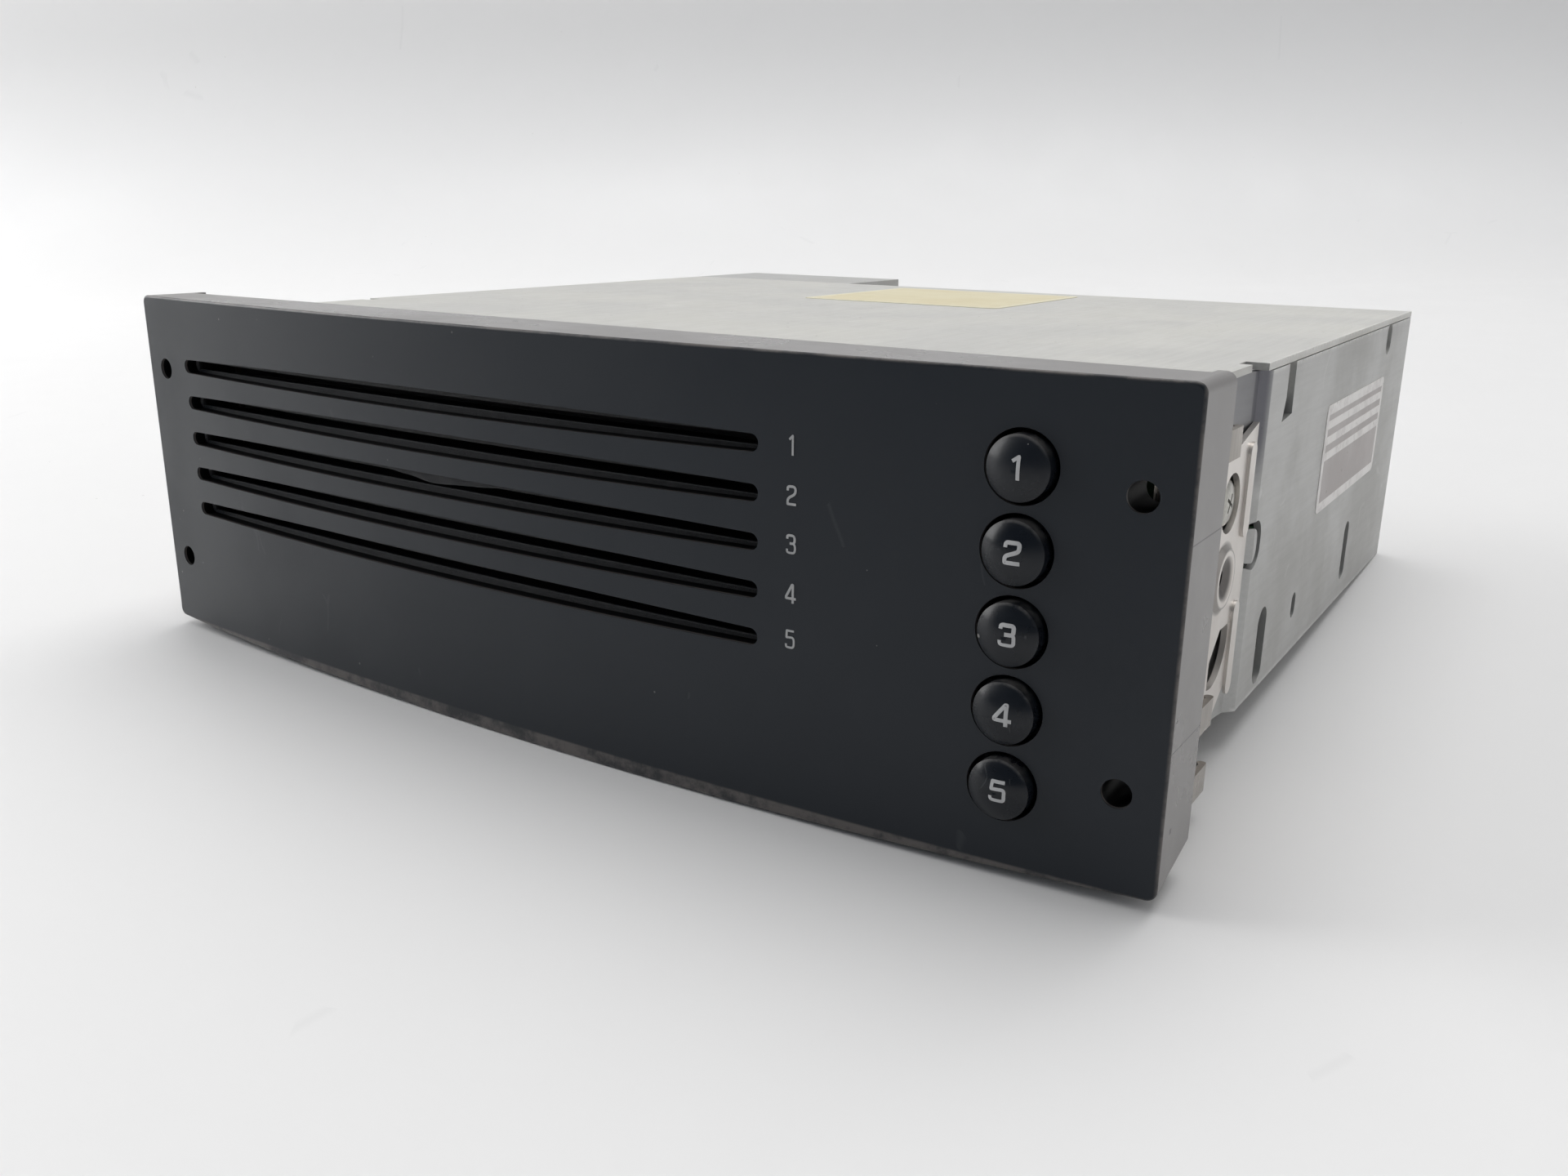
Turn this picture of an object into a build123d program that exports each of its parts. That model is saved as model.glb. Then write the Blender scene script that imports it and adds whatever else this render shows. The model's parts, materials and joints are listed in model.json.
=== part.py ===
from build123d import *
import math
import os

# A five-slot car disc changer for a standard dashboard opening, in millimetres.
# X runs to the right, Y into the dash and Z up. The origin is the middle of the
# four release-key holes, in the plane of the front panel's two ends.

# Fits and gaps
running_gap = 0.05          # shaft in its bearing
slide_gap = 0.2             # between parts that slide past each other
seat_gap = 0.1              # between a part and the seat that it rests on
tiny = 0.01                 # lets a cutter pass a face

# Front panel
panel_width = 188.0
panel_height = 59.3         # at the two ends of the front
panel_bulge = 4.0           # how far the middle of the face stands out
panel_sag = 1.0             # how far the middle of the lower edge hangs down
panel_wall = 2.2
panel_side_depth = 11.0
panel_top_depth = 8.7
panel_corner = 1.3
panel_edge = 0.4            # rounding round the face

# Disc slots and discs
slot_count = 5
slot_pitch = 6.3
slot_length = 123.0
slot_end_height = 2.3
slot_swell_up = 0.6         # how much higher the slot is at its middle
slot_swell_down = 0.5
slot_middle_x = -20.5
top_slot_drop = 8.8         # from the top cover down to the first slot
disc_diameter = 120.0
disc_thickness = 1.2
curtain_thickness = 0.5
curtain_slit = 1.4
curtain_margin = 2.5

# Push buttons
button_count = 5
button_pitch = 9.6
button_x = 75.0
top_button_z = 18.95
button_mat_margin = 4.2     # from the outer buttons' middle to the edge of the rubber mat
button_diameter = 7.6
button_ring_gap = 0.6       # between a cap and the edge of its hole
button_stand = 2.2          # how far the dome stands out of the panel
button_dome = 1.2           # height of the dome
button_travel = 0.8
button_ear_reach = 5.2
button_ear_height = 4.0
button_ear_thickness = 0.8
button_plunger = 3.6
button_pad_y = 2.2          # flat back of the thick pad that guides the buttons
button_pad_margin = 7.5

# Release-key holes
key_spacing_x = 177.0
key_spacing_z = 34.3
key_diameter = 3.6
key_sleeve = 5.4            # outer diameter of the guide behind each hole
key_sleeve_end = 6.0

# Chassis
chassis_width = 178.0
chassis_height = 50.0
chassis_back = 157.0
chassis_front = 12.6
share_above = 0.29          # of the panel's extra height that stands above the top cover
share_climb = 0.28          # of it by which the panel's underside climbs to the back
sheet = 1.0
cover_lip = 5.5
cover_lip_start = 8.0       # behind the step of the side walls
cover_notch = 3.1           # square notch in the cover's edge at that step
seam = 0.15                 # between the cover's edge and the side walls
rear_flange = 9.0
recess_back = 46.6          # where the side walls step in behind the panel
recess_depth = 2.6          # at the deepest place of the drawn-in wall
recess_joggle = 1.4         # where the drawn-in wall starts
joggle_length = 1.6
lance_corners = ((57.4, -0.4), (61.4, -0.4), (61.8, -8.6), (56.2, -9.2), (57.4, -6.0))
catch_y = 48.8
catch_drop = 25.4
wall_slots = (              # Y, drop below the top cover, length, width
    (135.0, 3.6, 6.0, 4.4),
    (59.0, 43.0, 12.0, 4.8),
    (79.2, 41.8, 4.2, 2.6),
    (118.0, 41.0, 11.0, 3.8),
)
vent_width = 2.4
vent_length = 16.0
floor_vents = 7
floor_vent_pitch = 9.0
rear_vents = 6
rear_vent_pitch = 5.0

# Rear box and connector
rear_box_width = 47.0
rear_box_depth = 26.0
rear_box_drop = 9.0         # how far its bottom lies above the chassis bottom
socket_width = 28.0
socket_height = 18.0
socket_length = 17.0
socket_wall = 1.6
socket_stand = 1.5
socket_cavity = 11.0
socket_pin_length = 5.0
socket_pin = 1.2
socket_pin_columns = 6

# Rear support stud
stud_diameter = 5.0
stud_length = 12.0
stud_neck = 4.4             # where the nut grips it
stud_x = 20.0
stud_drop = 25.0            # below the top cover
stud_nut = 8.0
stud_nut_height = 2.4

# Front frame and side plates
frame_y = 9.8               # front face of the metal frame behind the panel
frame_sheet = 0.8
frame_rail = 1.6            # of the frame above and below the window for the switch board
frame_margin = 1.3          # round the slots in the frame's disc window
shelf_inset = 12.0          # from the chassis sides to the ends of the frame's lips
plate_sheet = 0.8
plate_top_drop = 7.9        # from the cover down to the plate's upper edge
plate_hole_y = 36.0         # round hole over the side screw
plate_hole_drop = 17.2      # below the top cover
plate_hole_diameter = 8.0
plate_boss_y = 35.4
plate_boss_drop = 27.2
plate_boss_radius = 4.6
plate_boss_height = 0.6
plate_dish_radius = 3.2
plate_dish_depth = 0.9
plate_corner_cut = 10.0
plate_opening = (           # Y and height over the top cover of its corners
    (41.2, -34.9), (40.2, -40.4), (33.7, -42.4), (33.7, -38.5), (37.5, -34.9))
plate_rib_y = 43.6
plate_rib_width = 2.8
plate_ribs = ((16.7, 13.0), (39.0, 13.6))  # below the top cover, and length
clip_width = 3.4            # of the bent strip behind the panel
clip_height = 3.8
clip_drops = (5.4, 40.2, 49.4)  # from the top cover down to each clip's tongue
clip_outset = 2.4           # how far the clips stand outside the chassis sides
clip_length = 15.4          # how far the tongues reach back from the frame
clip_bead = 0.6             # radius of a tongue's rolled end
clip_gap = 0.4              # from the panel's back edge to a strip that passes it

# Slot shroud
shroud_grow = 0.35
shroud_back = 9.0
shroud_margin_x = 3.2
shroud_web = 1.0            # least wall between two channels and their core
shroud_core_front = 2.5
shroud_core_end = 4.0
shroud_margin_z = 2.4

# Feed rollers and their gears
roller_y = 20.0
roller_diameter = 4.4
roller_shaft_diameter = 1.6
cheek_thickness = 1.6
cheek_front = 13.0
cheek_back = 29.5
cheek_gap_x = 0.8           # from the slot's end to the cheek
guide_strip = 0.5
guide_strip_gap = 0.65      # above the middle of the disc
gear_teeth = 12
gear_width = 3.0
gear_mesh_angle = 45.0      # direction from a roller to the idlers beside it
reduction_teeth = 24
reduction_width = 1.8
idler_pin_diameter = 1.2

# Disc trays
tray_sheet = 0.8
tray_drop = 1.0             # from the disc's middle to the tray's top
tray_rim = 0.6
tray_front = 31.5
tray_back = 151.0
tray_left = -84.0
tray_right = 42.0
tray_window = 46.0
post_diameter = 2.4
post_y = (51.0, 141.0)
post_lug = 4.8
tray_pin_diameter = 1.8
tray_rise = 3.0             # upper trays
tray_fall = 4.0             # lowest tray

# Cam plate, its screw and motor
cam_travel = 12.0
cam_x = 46.0
cam_sheet = 1.2
cam_front = 40.0
cam_end_gap = 3.0           # from the cam plate's rail to the rear panel's foot
cam_pin_y = (62.0, 118.0)
cam_rail_height = 3.6
cam_rail_wall = 0.8
cam_screw_x = 53.2
cam_screw_rise = 10.0       # above the chassis floor
cam_screw_diameter = 3.0
cam_neck_diameter = 1.8
cam_motor_diameter = 9.2
cam_nut_length = 6.0
cam_nut_y = 66.0
cam_bearing_y = (55.0, 98.0)
motor_diameter = 12.0
motor_length = 15.0

# Play deck
deck_rise = 6.0             # from the chassis floor to the underside of the deck plate
deck_half_depth = 35.0
spindle_y = 92.0
turntable_diameter = 28.0
turntable_thickness = 1.5
hub_diameter = 14.6
hub_height = 2.4
spindle_motor_diameter = 20.0
spindle_motor_height = 4.5
spindle_shaft_diameter = 2.0
rod_diameter = 2.0
rod_inset = 17.0            # from the deck plate's edges to the rods
rod_rise = 2.0              # from the deck plate's underside to the rods' middle
rod_holder = 2.4
sled_start = 24.0           # lens to spindle at the inner end
sled_travel = 34.0
sled_half_length = 6.0
sled_end_gap = 0.4          # left at both ends of the sled's travel
sled_screw_diameter = 2.4
sled_neck_diameter = 1.4
sled_top_rise = 0.4         # from the rods' middle to the top of the sled
sled_screw_inset = 10.0     # from the deck plate's rear edge to the sled screw
sled_motor_diameter = 7.6
sled_motor_length = 18.0
damper_diameter = 8.0
damper_height = 3.0
deck_post_diameter = 5.0

# Boards
board = 1.6
switch_board_y = 6.6
switch_board_gap = 2.5      # from its edge to the panel's wall
switch_board_left = 15.0    # from the buttons' line to its edges
switch_board_right = 10.0
dome_height = 1.0
mat_thickness = 0.6
main_board_left = 61.0
main_board_front = 50.0
main_board_edge = 2.0       # from the board to the side wall
main_board_back = 10.0      # from the board to the rear panel
chips = (                   # X and Y from the board's corner, width, depth, height
    (5.0, 12.0, 13.0, 14.0, 2.2),
    (3.0, 34.0, 10.0, 10.0, 1.8),
    (15.0, 36.0, 7.0, 16.0, 2.6),
)
capacitor_diameter = 10.0
capacitors = ((6.0, 62.0, 12.0), (17.0, 78.0, 16.0))  # X, Y and height
standoff = 2.0
standoff_width = 4.0

# Screws
screw_diameter = 2.6
screw_head = 5.0
screw_head_height = 1.5
side_screw_head = 6.4
side_screw_seat = 0.45      # from the deepest place of the drawn-in wall to the head
side_screw_length = 2.0
board_screw_length = 5.0
rear_screw_length = 4.0

# Values that follow from the sizes above
half_width = chassis_width / 2
spare_height = panel_height - chassis_height
top_z = panel_height / 2 - share_above * spare_height
panel_climb = share_climb * spare_height
floor_z = top_z - chassis_height
inner_floor = floor_z + sheet
inner_top = top_z - sheet
inner_back = chassis_back - sheet
slot_z = [top_z - top_slot_drop - i * slot_pitch for i in range(slot_count)]
button_z = [top_button_z - i * button_pitch for i in range(button_count)]
slot_left = slot_middle_x - slot_length / 2
slot_right = slot_middle_x + slot_length / 2
left_cheek = slot_left - cheek_gap_x - cheek_thickness
right_cheek = slot_right + cheek_gap_x
roller_z = [z - disc_thickness / 2 - roller_diameter / 2 for z in slot_z]
idler_step = slot_pitch / 2
gear_distance = idler_step / math.sin(math.radians(gear_mesh_angle))
idler_y = roller_y + idler_step / math.tan(math.radians(gear_mesh_angle))
gear_module = gear_distance / gear_teeth
gear_x = right_cheek + cheek_thickness + slide_gap
reduction_x = gear_x + gear_width + slide_gap
reduction_z = roller_z[-1] - idler_step
motor_reach = gear_module * (reduction_teeth + gear_teeth) / 2
feed_motor_y = idler_y + motor_reach
motor_plate_x = reduction_x + reduction_width + 2 * slide_gap
post_x = (tray_left - 1.0, tray_right + 1.0)
tray_top = [z - tray_drop for z in slot_z]
button_hole = button_diameter / 2 + button_ring_gap
switch_board_x = (button_x - switch_board_left, button_x + switch_board_right)
button_back = button_pad_y + seat_gap + button_ear_thickness
dome_front = switch_board_y - mat_thickness - dome_height
button_plunger_length = dome_front - button_travel - seat_gap - button_back
switch_board_half = panel_height / 2 - panel_wall - switch_board_gap
rod_half_spacing = deck_half_depth - rod_inset
sled_screw_offset = deck_half_depth - sled_screw_inset
stud_z = top_z - stud_drop
cam_length = inner_back - rear_flange - cam_end_gap - cam_travel - cam_front
cam_screw_z = inner_floor + cam_screw_rise
deck_z = inner_floor + deck_rise
rod_z = deck_z + rod_rise
sled_window_left = slot_middle_x - sled_start - sled_travel - sled_half_length - sled_end_gap
sled_window_right = slot_middle_x - sled_start + sled_half_length + sled_end_gap
deck_left = sled_window_left - rod_holder
deck_right = slot_middle_x + 26.0
deck_top = deck_z + sheet
rod_y = (spindle_y - rod_half_spacing, spindle_y + rod_half_spacing)
screw_line_y = spindle_y + sled_screw_offset
screw_line_z = deck_z - sled_screw_diameter / 2 - slide_gap
sled_top = rod_z + sled_top_rise
turntable_top = slot_z[-1] - disc_thickness / 2 - tray_fall
sled_motor_x = slot_middle_x - 7.5


def block(x, y, z):
    """A box given by its low and high corner on each axis."""
    centre = Pos((x[0] + x[1]) / 2, (y[0] + y[1]) / 2, (z[0] + z[1]) / 2)
    return centre * Box(x[1] - x[0], y[1] - y[0], z[1] - z[0])


def along_x(radius, x, y, z):
    """A round bar along X between two places."""
    return Pos((x[0] + x[1]) / 2, y, z) * Rot(0, 90, 0) * Cylinder(radius, x[1] - x[0])


def along_y(radius, x, y, z):
    """A round bar along Y between two places."""
    return Pos(x, (y[0] + y[1]) / 2, z) * Rot(90, 0, 0) * Cylinder(radius, y[1] - y[0])


def along_z(radius, x, y, z):
    """A round bar along Z between two places."""
    return Pos(x, y, (z[0] + z[1]) / 2) * Cylinder(radius, z[1] - z[0])


def front_cut(outline, y):
    """Push an outline drawn as seen from the front through a range of depths."""
    flat = Pos(0, y[0], 0) * Rot(90, 0, 0) * outline
    return extrude(flat, y[1] - y[0], dir=(0, 1, 0))


def side_cut(outline, x):
    """Push an outline drawn as seen from the right through a range of X."""
    flat = Plane((x[0], 0, 0), x_dir=(0, 1, 0), z_dir=(1, 0, 0)) * outline
    return extrude(flat, x[1] - x[0], dir=(1, 0, 0))


def both_sides(shape):
    """A right-hand shape and its mirror image."""
    return shape + mirror(shape, Plane.YZ)


# Front panel

def face_y(x):
    """Depth of the bowed face at a place across the panel."""
    radius = (panel_width ** 2 / 4 + panel_bulge ** 2) / (2 * panel_bulge)
    return radius - panel_bulge - math.sqrt(radius ** 2 - x ** 2)


def behind_face(offset, x, back, z):
    """A block whose front follows the bowed face at an offset behind it."""
    middle = (x[0] + x[1]) / 2
    start = (x[0], face_y(x[0]) + offset)
    end = (x[1], face_y(x[1]) + offset)
    bow = ThreePointArc(start, (middle, face_y(middle) + offset), end)
    frame = Polyline(end, (x[1], back), (x[0], back), start)
    plan = Pos(0, 0, z[0]) * make_face([bow, frame])
    return extrude(plan, z[1] - z[0], dir=(0, 0, 1))


def panel_section(y, inset):
    """Outline of the panel at one depth, drawn in by an inset."""
    half = panel_width / 2 - inset
    top = panel_height / 2 - inset
    low = panel_climb * y / panel_side_depth - panel_height / 2 + inset
    bottom = ThreePointArc((-half, low), (0, low - panel_sag), (half, low))
    rest = Polyline((half, low), (half, top), (-half, top), (-half, low))
    outline = make_face([bottom, rest])
    outline = fillet(outline.vertices(), panel_corner)
    return Pos(0, y, 0) * Rot(90, 0, 0) * outline


def panel_block(inset, back):
    """The tapering block between the panel's front and back outlines."""
    sections = [panel_section(-2 * panel_bulge, inset), panel_section(back, inset)]
    full = loft(sections, ruled=True)
    reach = (-panel_width / 2 - 1, panel_width / 2 + 1)
    height = (-panel_height, panel_height)
    return full & behind_face(inset, reach, back + 1, height)


def slot_outline(z, grow):
    """A disc slot: round ends and edges that swell towards its middle."""
    radius = slot_end_height / 2 + grow
    left = slot_left + slot_end_height / 2
    right = slot_right - slot_end_height / 2
    high, low = z + radius, z - radius
    top = ThreePointArc((left, high), (slot_middle_x, high + slot_swell_up), (right, high))
    bottom = ThreePointArc((left, low), (slot_middle_x, low - slot_swell_down), (right, low))
    left_end = ThreePointArc((left, high), (left - radius, z), (left, low))
    right_end = ThreePointArc((right, high), (right + radius, z), (right, low))
    return make_face([top, right_end, bottom, left_end])


def key_places():
    """Centres of the four release-key holes."""
    return [(sx * key_spacing_x / 2, sz * key_spacing_z / 2) for sx in (-1, 1) for sz in (-1, 1)]


def board_screw_places():
    """Where the switch board is screwed to the panel's bosses."""
    left, right = switch_board_x
    high = switch_board_half - screw_diameter
    between = (button_z[1] + button_z[2]) / 2
    return [(left + 3.2, high), (left + 3.2, -high), (right - screw_diameter, between)]


def make_front_panel():
    """The moulded front with its slots, button holes and key holes."""
    outer = panel_block(0, panel_side_depth)
    face = outer.faces().sort_by(Axis.Y)[0]
    outer = fillet(face.outer_wire().edges(), panel_edge)
    shell = outer - panel_block(panel_wall, panel_side_depth + 1)
    inner_half = panel_width / 2 - panel_wall
    top = (panel_height / 2 - panel_wall - 1, panel_height / 2 + 1)
    shell -= block((-inner_half, inner_half), (panel_top_depth, panel_side_depth + 1), top)
    pad_x = (button_x - button_pad_margin, button_x + button_pad_margin)
    pad_z = (button_z[-1] - button_pad_margin, button_z[0] + button_pad_margin)
    shell += behind_face(panel_wall - 0.5, pad_x, button_pad_y, pad_z)
    for x, z in board_screw_places():
        shell += along_y(screw_diameter, x, (face_y(x) + panel_wall - 0.5, switch_board_y), z)
        shell -= along_y(screw_diameter / 2, x, (face_y(x) + panel_wall, switch_board_y + 1), z)
    through = (-2 * panel_bulge, panel_side_depth)
    for z in slot_z:
        shell -= front_cut(slot_outline(z, 0), (through[0], panel_wall + 1))
    for z in button_z:
        shell -= along_y(button_hole, button_x, through, z)
    for x, z in key_places():
        shell += along_y(key_sleeve / 2, x, (face_y(x) + panel_wall - 0.5, key_sleeve_end), z)
        shell -= along_y(key_diameter / 2, x, (through[0], key_sleeve_end + 1), z)
    return shell


def make_button(z):
    """A domed cap with two ears behind the panel and a plunger."""
    radius = button_diameter / 2
    apex = face_y(button_x) - button_stand
    sphere = (radius ** 2 + button_dome ** 2) / (2 * button_dome)
    middle = apex + sphere - math.sqrt(sphere ** 2 - radius ** 2 / 4)
    ear_y = button_pad_y + seat_gap
    rim = apex + button_dome
    dome = ThreePointArc((0, apex), (radius / 2, middle), (radius, rim))
    rest = Polyline((radius, rim), (radius, ear_y), (0, ear_y), (0, apex))
    cap = revolve(make_face([dome, rest]), Axis.Y)
    ears = block((-button_ear_reach, button_ear_reach), (ear_y - tiny, button_back),
                 (-button_ear_height / 2, button_ear_height / 2))
    half = button_plunger / 2
    plunger = block((-half, half), (button_back - tiny, button_back + button_plunger_length), (-half, half))
    return Pos(button_x, 0, z) * (cap + ears + plunger)


def make_keypad_mat():
    """Rubber mat with a square pad behind each button."""
    x = (button_x - button_mat_margin, button_x + button_mat_margin)
    z = (button_z[-1] - button_mat_margin, button_z[0] + button_mat_margin)
    mat = block(x, (switch_board_y - mat_thickness, switch_board_y), z)
    pad = button_plunger / 2 + mat_thickness
    pad_x = (button_x - pad, button_x + pad)
    for z in button_z:
        mat += block(pad_x, (dome_front, switch_board_y - tiny), (z - pad, z + pad))
    return mat


def make_switch_board():
    """Upright board behind the buttons, with four screw holes."""
    y = (switch_board_y, switch_board_y + board)
    pcb = block(switch_board_x, y, (-switch_board_half, switch_board_half))
    for x, z in board_screw_places():
        pcb -= along_y(screw_diameter / 2 + running_gap, x, (y[0] - 1, y[1] + 1), z)
    return pcb


def make_screw(length, head_diameter):
    """A pan-head screw that points along +Z, its head below Z = 0."""
    radius = screw_diameter / 2 - running_gap
    head = Pos(0, 0, -screw_head_height / 2) * Cylinder(head_diameter / 2, screw_head_height)
    return head + Pos(0, 0, length / 2) * Cylinder(radius, length)


def make_board_screws():
    """Screws that hold the switch board to the panel."""
    back = switch_board_y + board
    screw = Rot(90, 0, 0) * make_screw(board_screw_length, screw_head)
    return [Pos(x, back, z) * screw for x, z in board_screw_places()]


def make_dust_curtain():
    """Black felt glued behind the panel, slit along each slot."""
    x = (slot_left - curtain_margin, slot_right + curtain_margin)
    z = (slot_z[-1] - slot_pitch / 2, slot_z[0] + slot_pitch / 2)
    near = panel_wall + tiny
    sheet_block = behind_face(near, x, panel_wall + 2, z)
    felt = sheet_block - behind_face(near + curtain_thickness, (x[0] - 1, x[1] + 1), panel_wall + 3, z)
    for height in slot_z:
        low, high = height - curtain_slit / 2, height + curtain_slit / 2
        felt -= block((slot_left + 1, slot_right - 1), (-2 * panel_bulge, panel_wall + 3), (low, high))
    return felt


def make_slot_shroud():
    """Moulded block with a channel behind each slot, cored between the channels."""
    x = (slot_left - shroud_margin_x, slot_right + shroud_margin_x)
    margin = shroud_margin_z + slot_end_height
    z = (slot_z[-1] - margin, slot_z[0] + margin)
    near = panel_wall + curtain_thickness + 2 * tiny
    shroud = behind_face(near, x, shroud_back, z)
    half = slot_end_height / 2 + slot_swell_up + shroud_grow
    channel_x = (slot_left - shroud_grow, slot_right + shroud_grow)
    channel_y = (-2 * panel_bulge, shroud_back + 1)
    for height in slot_z:
        shroud -= block(channel_x, channel_y, (height - half, height + half))
    core = (slot_pitch - 2 * half - shroud_web) / 2
    core_x = (slot_left + shroud_core_end, slot_right - shroud_core_end)
    for height in slot_z[:-1]:
        middle = height - slot_pitch / 2
        core_z = (middle - core, middle + core)
        shroud -= block(core_x, (shroud_core_front, shroud_back + 1), core_z)
    return shroud


# Metal frame behind the panel

def make_clips(root_x, y, lowest):
    """Spring clips on the right of the frame: an arm outwards, then a tongue backwards."""
    outer = half_width + clip_outset
    x = (outer - frame_sheet, outer)
    past_panel = panel_side_depth + clip_gap
    end = y[1] + clip_length
    clips = []
    for drop in clip_drops:
        tongue = (top_z - drop - clip_height, top_z - drop)
        arm = (max(tongue[0], lowest), max(tongue[1], lowest + 2 * frame_sheet))
        clip = block((root_x, outer), y, arm) + block(x, (y[0], y[1] + clip_width), arm)
        clip += block(x, (past_panel, y[1] + clip_width), (tongue[0], arm[1]))
        clip += block(x, (past_panel, end), tongue)
        clips.append(clip + along_z(clip_bead, outer - clip_bead, end, tongue))
    return clips


def make_front_frame():
    """Sheet frame that closes the chassis front and carries the panel's clips."""
    y = (frame_y, frame_y + frame_sheet)
    half = half_width - recess_joggle - sheet - slide_gap
    low, high = inner_floor + seam, inner_top - seam
    frame = block((-half, half), y, (low, high))
    through = (y[0] - 1, y[1] + 1)
    disc_window = (slot_left - frame_margin, slot_right + frame_margin)
    room = slot_end_height + frame_margin
    frame -= block(disc_window, through, (slot_z[-1] - room, slot_z[0] + room))
    board_window = (switch_board_x[0], half - 2 * frame_sheet)
    frame -= block(board_window, through, (low + frame_rail, high - frame_rail))
    side = block((half - frame_sheet, half), (y[0], chassis_front - slide_gap), (low, high))
    for clip in make_clips(half - tiny, y, low):
        side += clip
    return frame + both_sides(side) + front_shelf(y)


def front_shelf(y):
    """Upper and lower lips of the frame, turned back against cover and floor."""
    half = half_width - shelf_inset
    lip = (y[0], chassis_front - slide_gap)
    upper = block((-half, half), lip, (inner_top - seam - frame_sheet, inner_top - seam))
    lower = block((-half, half), lip, (inner_floor + seam, inner_floor + seam + frame_sheet))
    return upper + lower


# Chassis sheets

def wall_plan(inner):
    """Plan edge of the right side wall, drawn in behind the front panel."""
    x = half_width - inner
    start = (x - recess_joggle, chassis_front)
    middle = (x - recess_depth, (chassis_front + recess_back) / 2)
    end = (x - recess_joggle, recess_back)
    return start, middle, end


def make_side_wall():
    """The right side wall: a hollow behind the panel, a joggle, then flat."""
    outer = wall_plan(0)
    inner = wall_plan(sheet)
    x = half_width
    edges = [
        ThreePointArc(*outer),
        Polyline(outer[2], (x, recess_back + joggle_length), (x, chassis_back),
                 (x - sheet, chassis_back), (x - sheet, recess_back + joggle_length), inner[2]),
        ThreePointArc(*inner),
        Line(inner[0], outer[0]),
    ]
    plan = Pos(0, 0, floor_z) * make_face(edges)
    return extrude(plan, inner_top - seam - floor_z, dir=(0, 0, 1))


def wall_slot(y, drop, length, width, x):
    """An upright slot through the side wall, its middle below the top cover."""
    return side_cut(Pos(y, top_z - drop) * SlotOverall(length, width, rotation=90), x)


def side_openings():
    """Lances, slots and vents in the right side wall."""
    x = (half_width - recess_depth - 2 * sheet, half_width + 1)
    lance = side_cut(Pos(0, top_z) * make_face(Polyline(*lance_corners, close=True)), x)
    rim = SlotOverall(7.0, 6.0, rotation=90) - Pos(-1.0, 0) * SlotOverall(5.0, 4.0, rotation=90)
    rim -= Pos(-3.8, 0) * Rectangle(4.0, 7.0)
    catch = side_cut(Pos(catch_y, top_z - catch_drop) * rim, x)
    hole = along_x(screw_diameter / 2, x, plate_hole_y, top_z - plate_hole_drop)
    return [lance, hole, catch] + [wall_slot(*slot, x) for slot in wall_slots]


def make_chassis_tray():
    """Floor and both side walls, folded from one sheet."""
    lance, hole, *slots = side_openings()
    plain_wall = make_side_wall() - lance - hole
    wall = plain_wall
    for opening in slots:
        wall -= opening
    wide = half_width - sheet / 2
    narrow = wide - recess_joggle
    z = (floor_z, inner_floor)
    floor = block((-wide, wide), (recess_back + joggle_length, chassis_back), z)
    floor += block((-narrow, narrow), (chassis_front, recess_back + 2), z)
    vent_x = (main_board_left + 4.0, main_board_left + 4.0 + vent_length)
    for i in range(floor_vents):
        middle = main_board_front + 22.0 + floor_vent_pitch * i
        vent_y = (middle - vent_width / 2, middle + vent_width / 2)
        floor -= block(vent_x, vent_y, (floor_z - 1, inner_floor + 1))
    return floor + wall + mirror(plain_wall, Plane.YZ)


def make_top_cover():
    """Flat lid with a lip folded down inside each side wall and a pressed field."""
    front = frame_y
    lid = block((-half_width, half_width), (front, chassis_back), (inner_top, top_z))
    half = half_width - sheet - slide_gap
    lip_y = (recess_back + cover_lip_start, inner_back - rear_flange - 0.5)
    lip = block((half - sheet, half), lip_y, (inner_top - cover_lip, inner_top + tiny))
    through = (inner_top - 1, top_z + 1)
    beside = (half_width - recess_joggle, half_width + 1)
    lid -= both_sides(block(beside, (front - 1, recess_back - 1.0), through))
    notch = (half_width - cover_notch, half_width + 1)
    lid -= both_sides(block(notch, (recess_back - 1.0 - cover_notch, recess_back - 0.9), through))
    return lid + both_sides(lip)


def make_side_plate():
    """Nickel-plated plate over the drawn-in wall, with its hole, boss, ribs and opening."""
    outer = half_width - recess_joggle + plate_sheet + tiny
    x = (outer - plate_sheet, outer)
    through = (x[0] - 1, x[1] + 2)
    high = top_z - plate_top_drop
    front, back = chassis_front - 1.4, recess_back - 0.4
    low = floor_z + 1.6
    cut = plate_corner_cut
    corners = [(front, low), (back - cut, low), (back, low + 0.7 * cut), (back, high)]
    corners += [(back - cut, high - 2.4), (front, high - 4.0)]
    plate = side_cut(make_face(Polyline(*corners, close=True)), x)
    hole = Pos(plate_hole_y, top_z - plate_hole_drop) * Circle(plate_hole_diameter / 2)
    plate -= side_cut(hole, through)
    boss = (plate_boss_y, top_z - plate_boss_drop)
    crown = plate_boss_radius - plate_boss_height
    plate += (Pos(outer + plate_boss_height / 2, *boss) * Rot(0, 90, 0)
              * Cone(plate_boss_radius, crown, plate_boss_height))
    dish_x = outer + plate_boss_height - plate_dish_depth / 2
    plate -= (Pos(dish_x, *boss) * Rot(0, 90, 0)
              * Cone(plate_dish_radius / 2, plate_dish_radius, plate_dish_depth))
    plate -= side_cut(Pos(*boss) * Circle(screw_diameter / 2), through)
    for drop, length in plate_ribs:
        rib = Pos(plate_rib_y, top_z - drop) * SlotOverall(length, plate_rib_width, rotation=90)
        plate += side_cut(rib, (x[1] - tiny, x[1] + 0.4))
    corner, bend, far, near, start = plate_opening
    opening = make_face([ThreePointArc(corner, bend, far), Polyline(far, near, start, corner)])
    return plate - side_cut(Pos(0, top_z) * opening, through)


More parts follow.
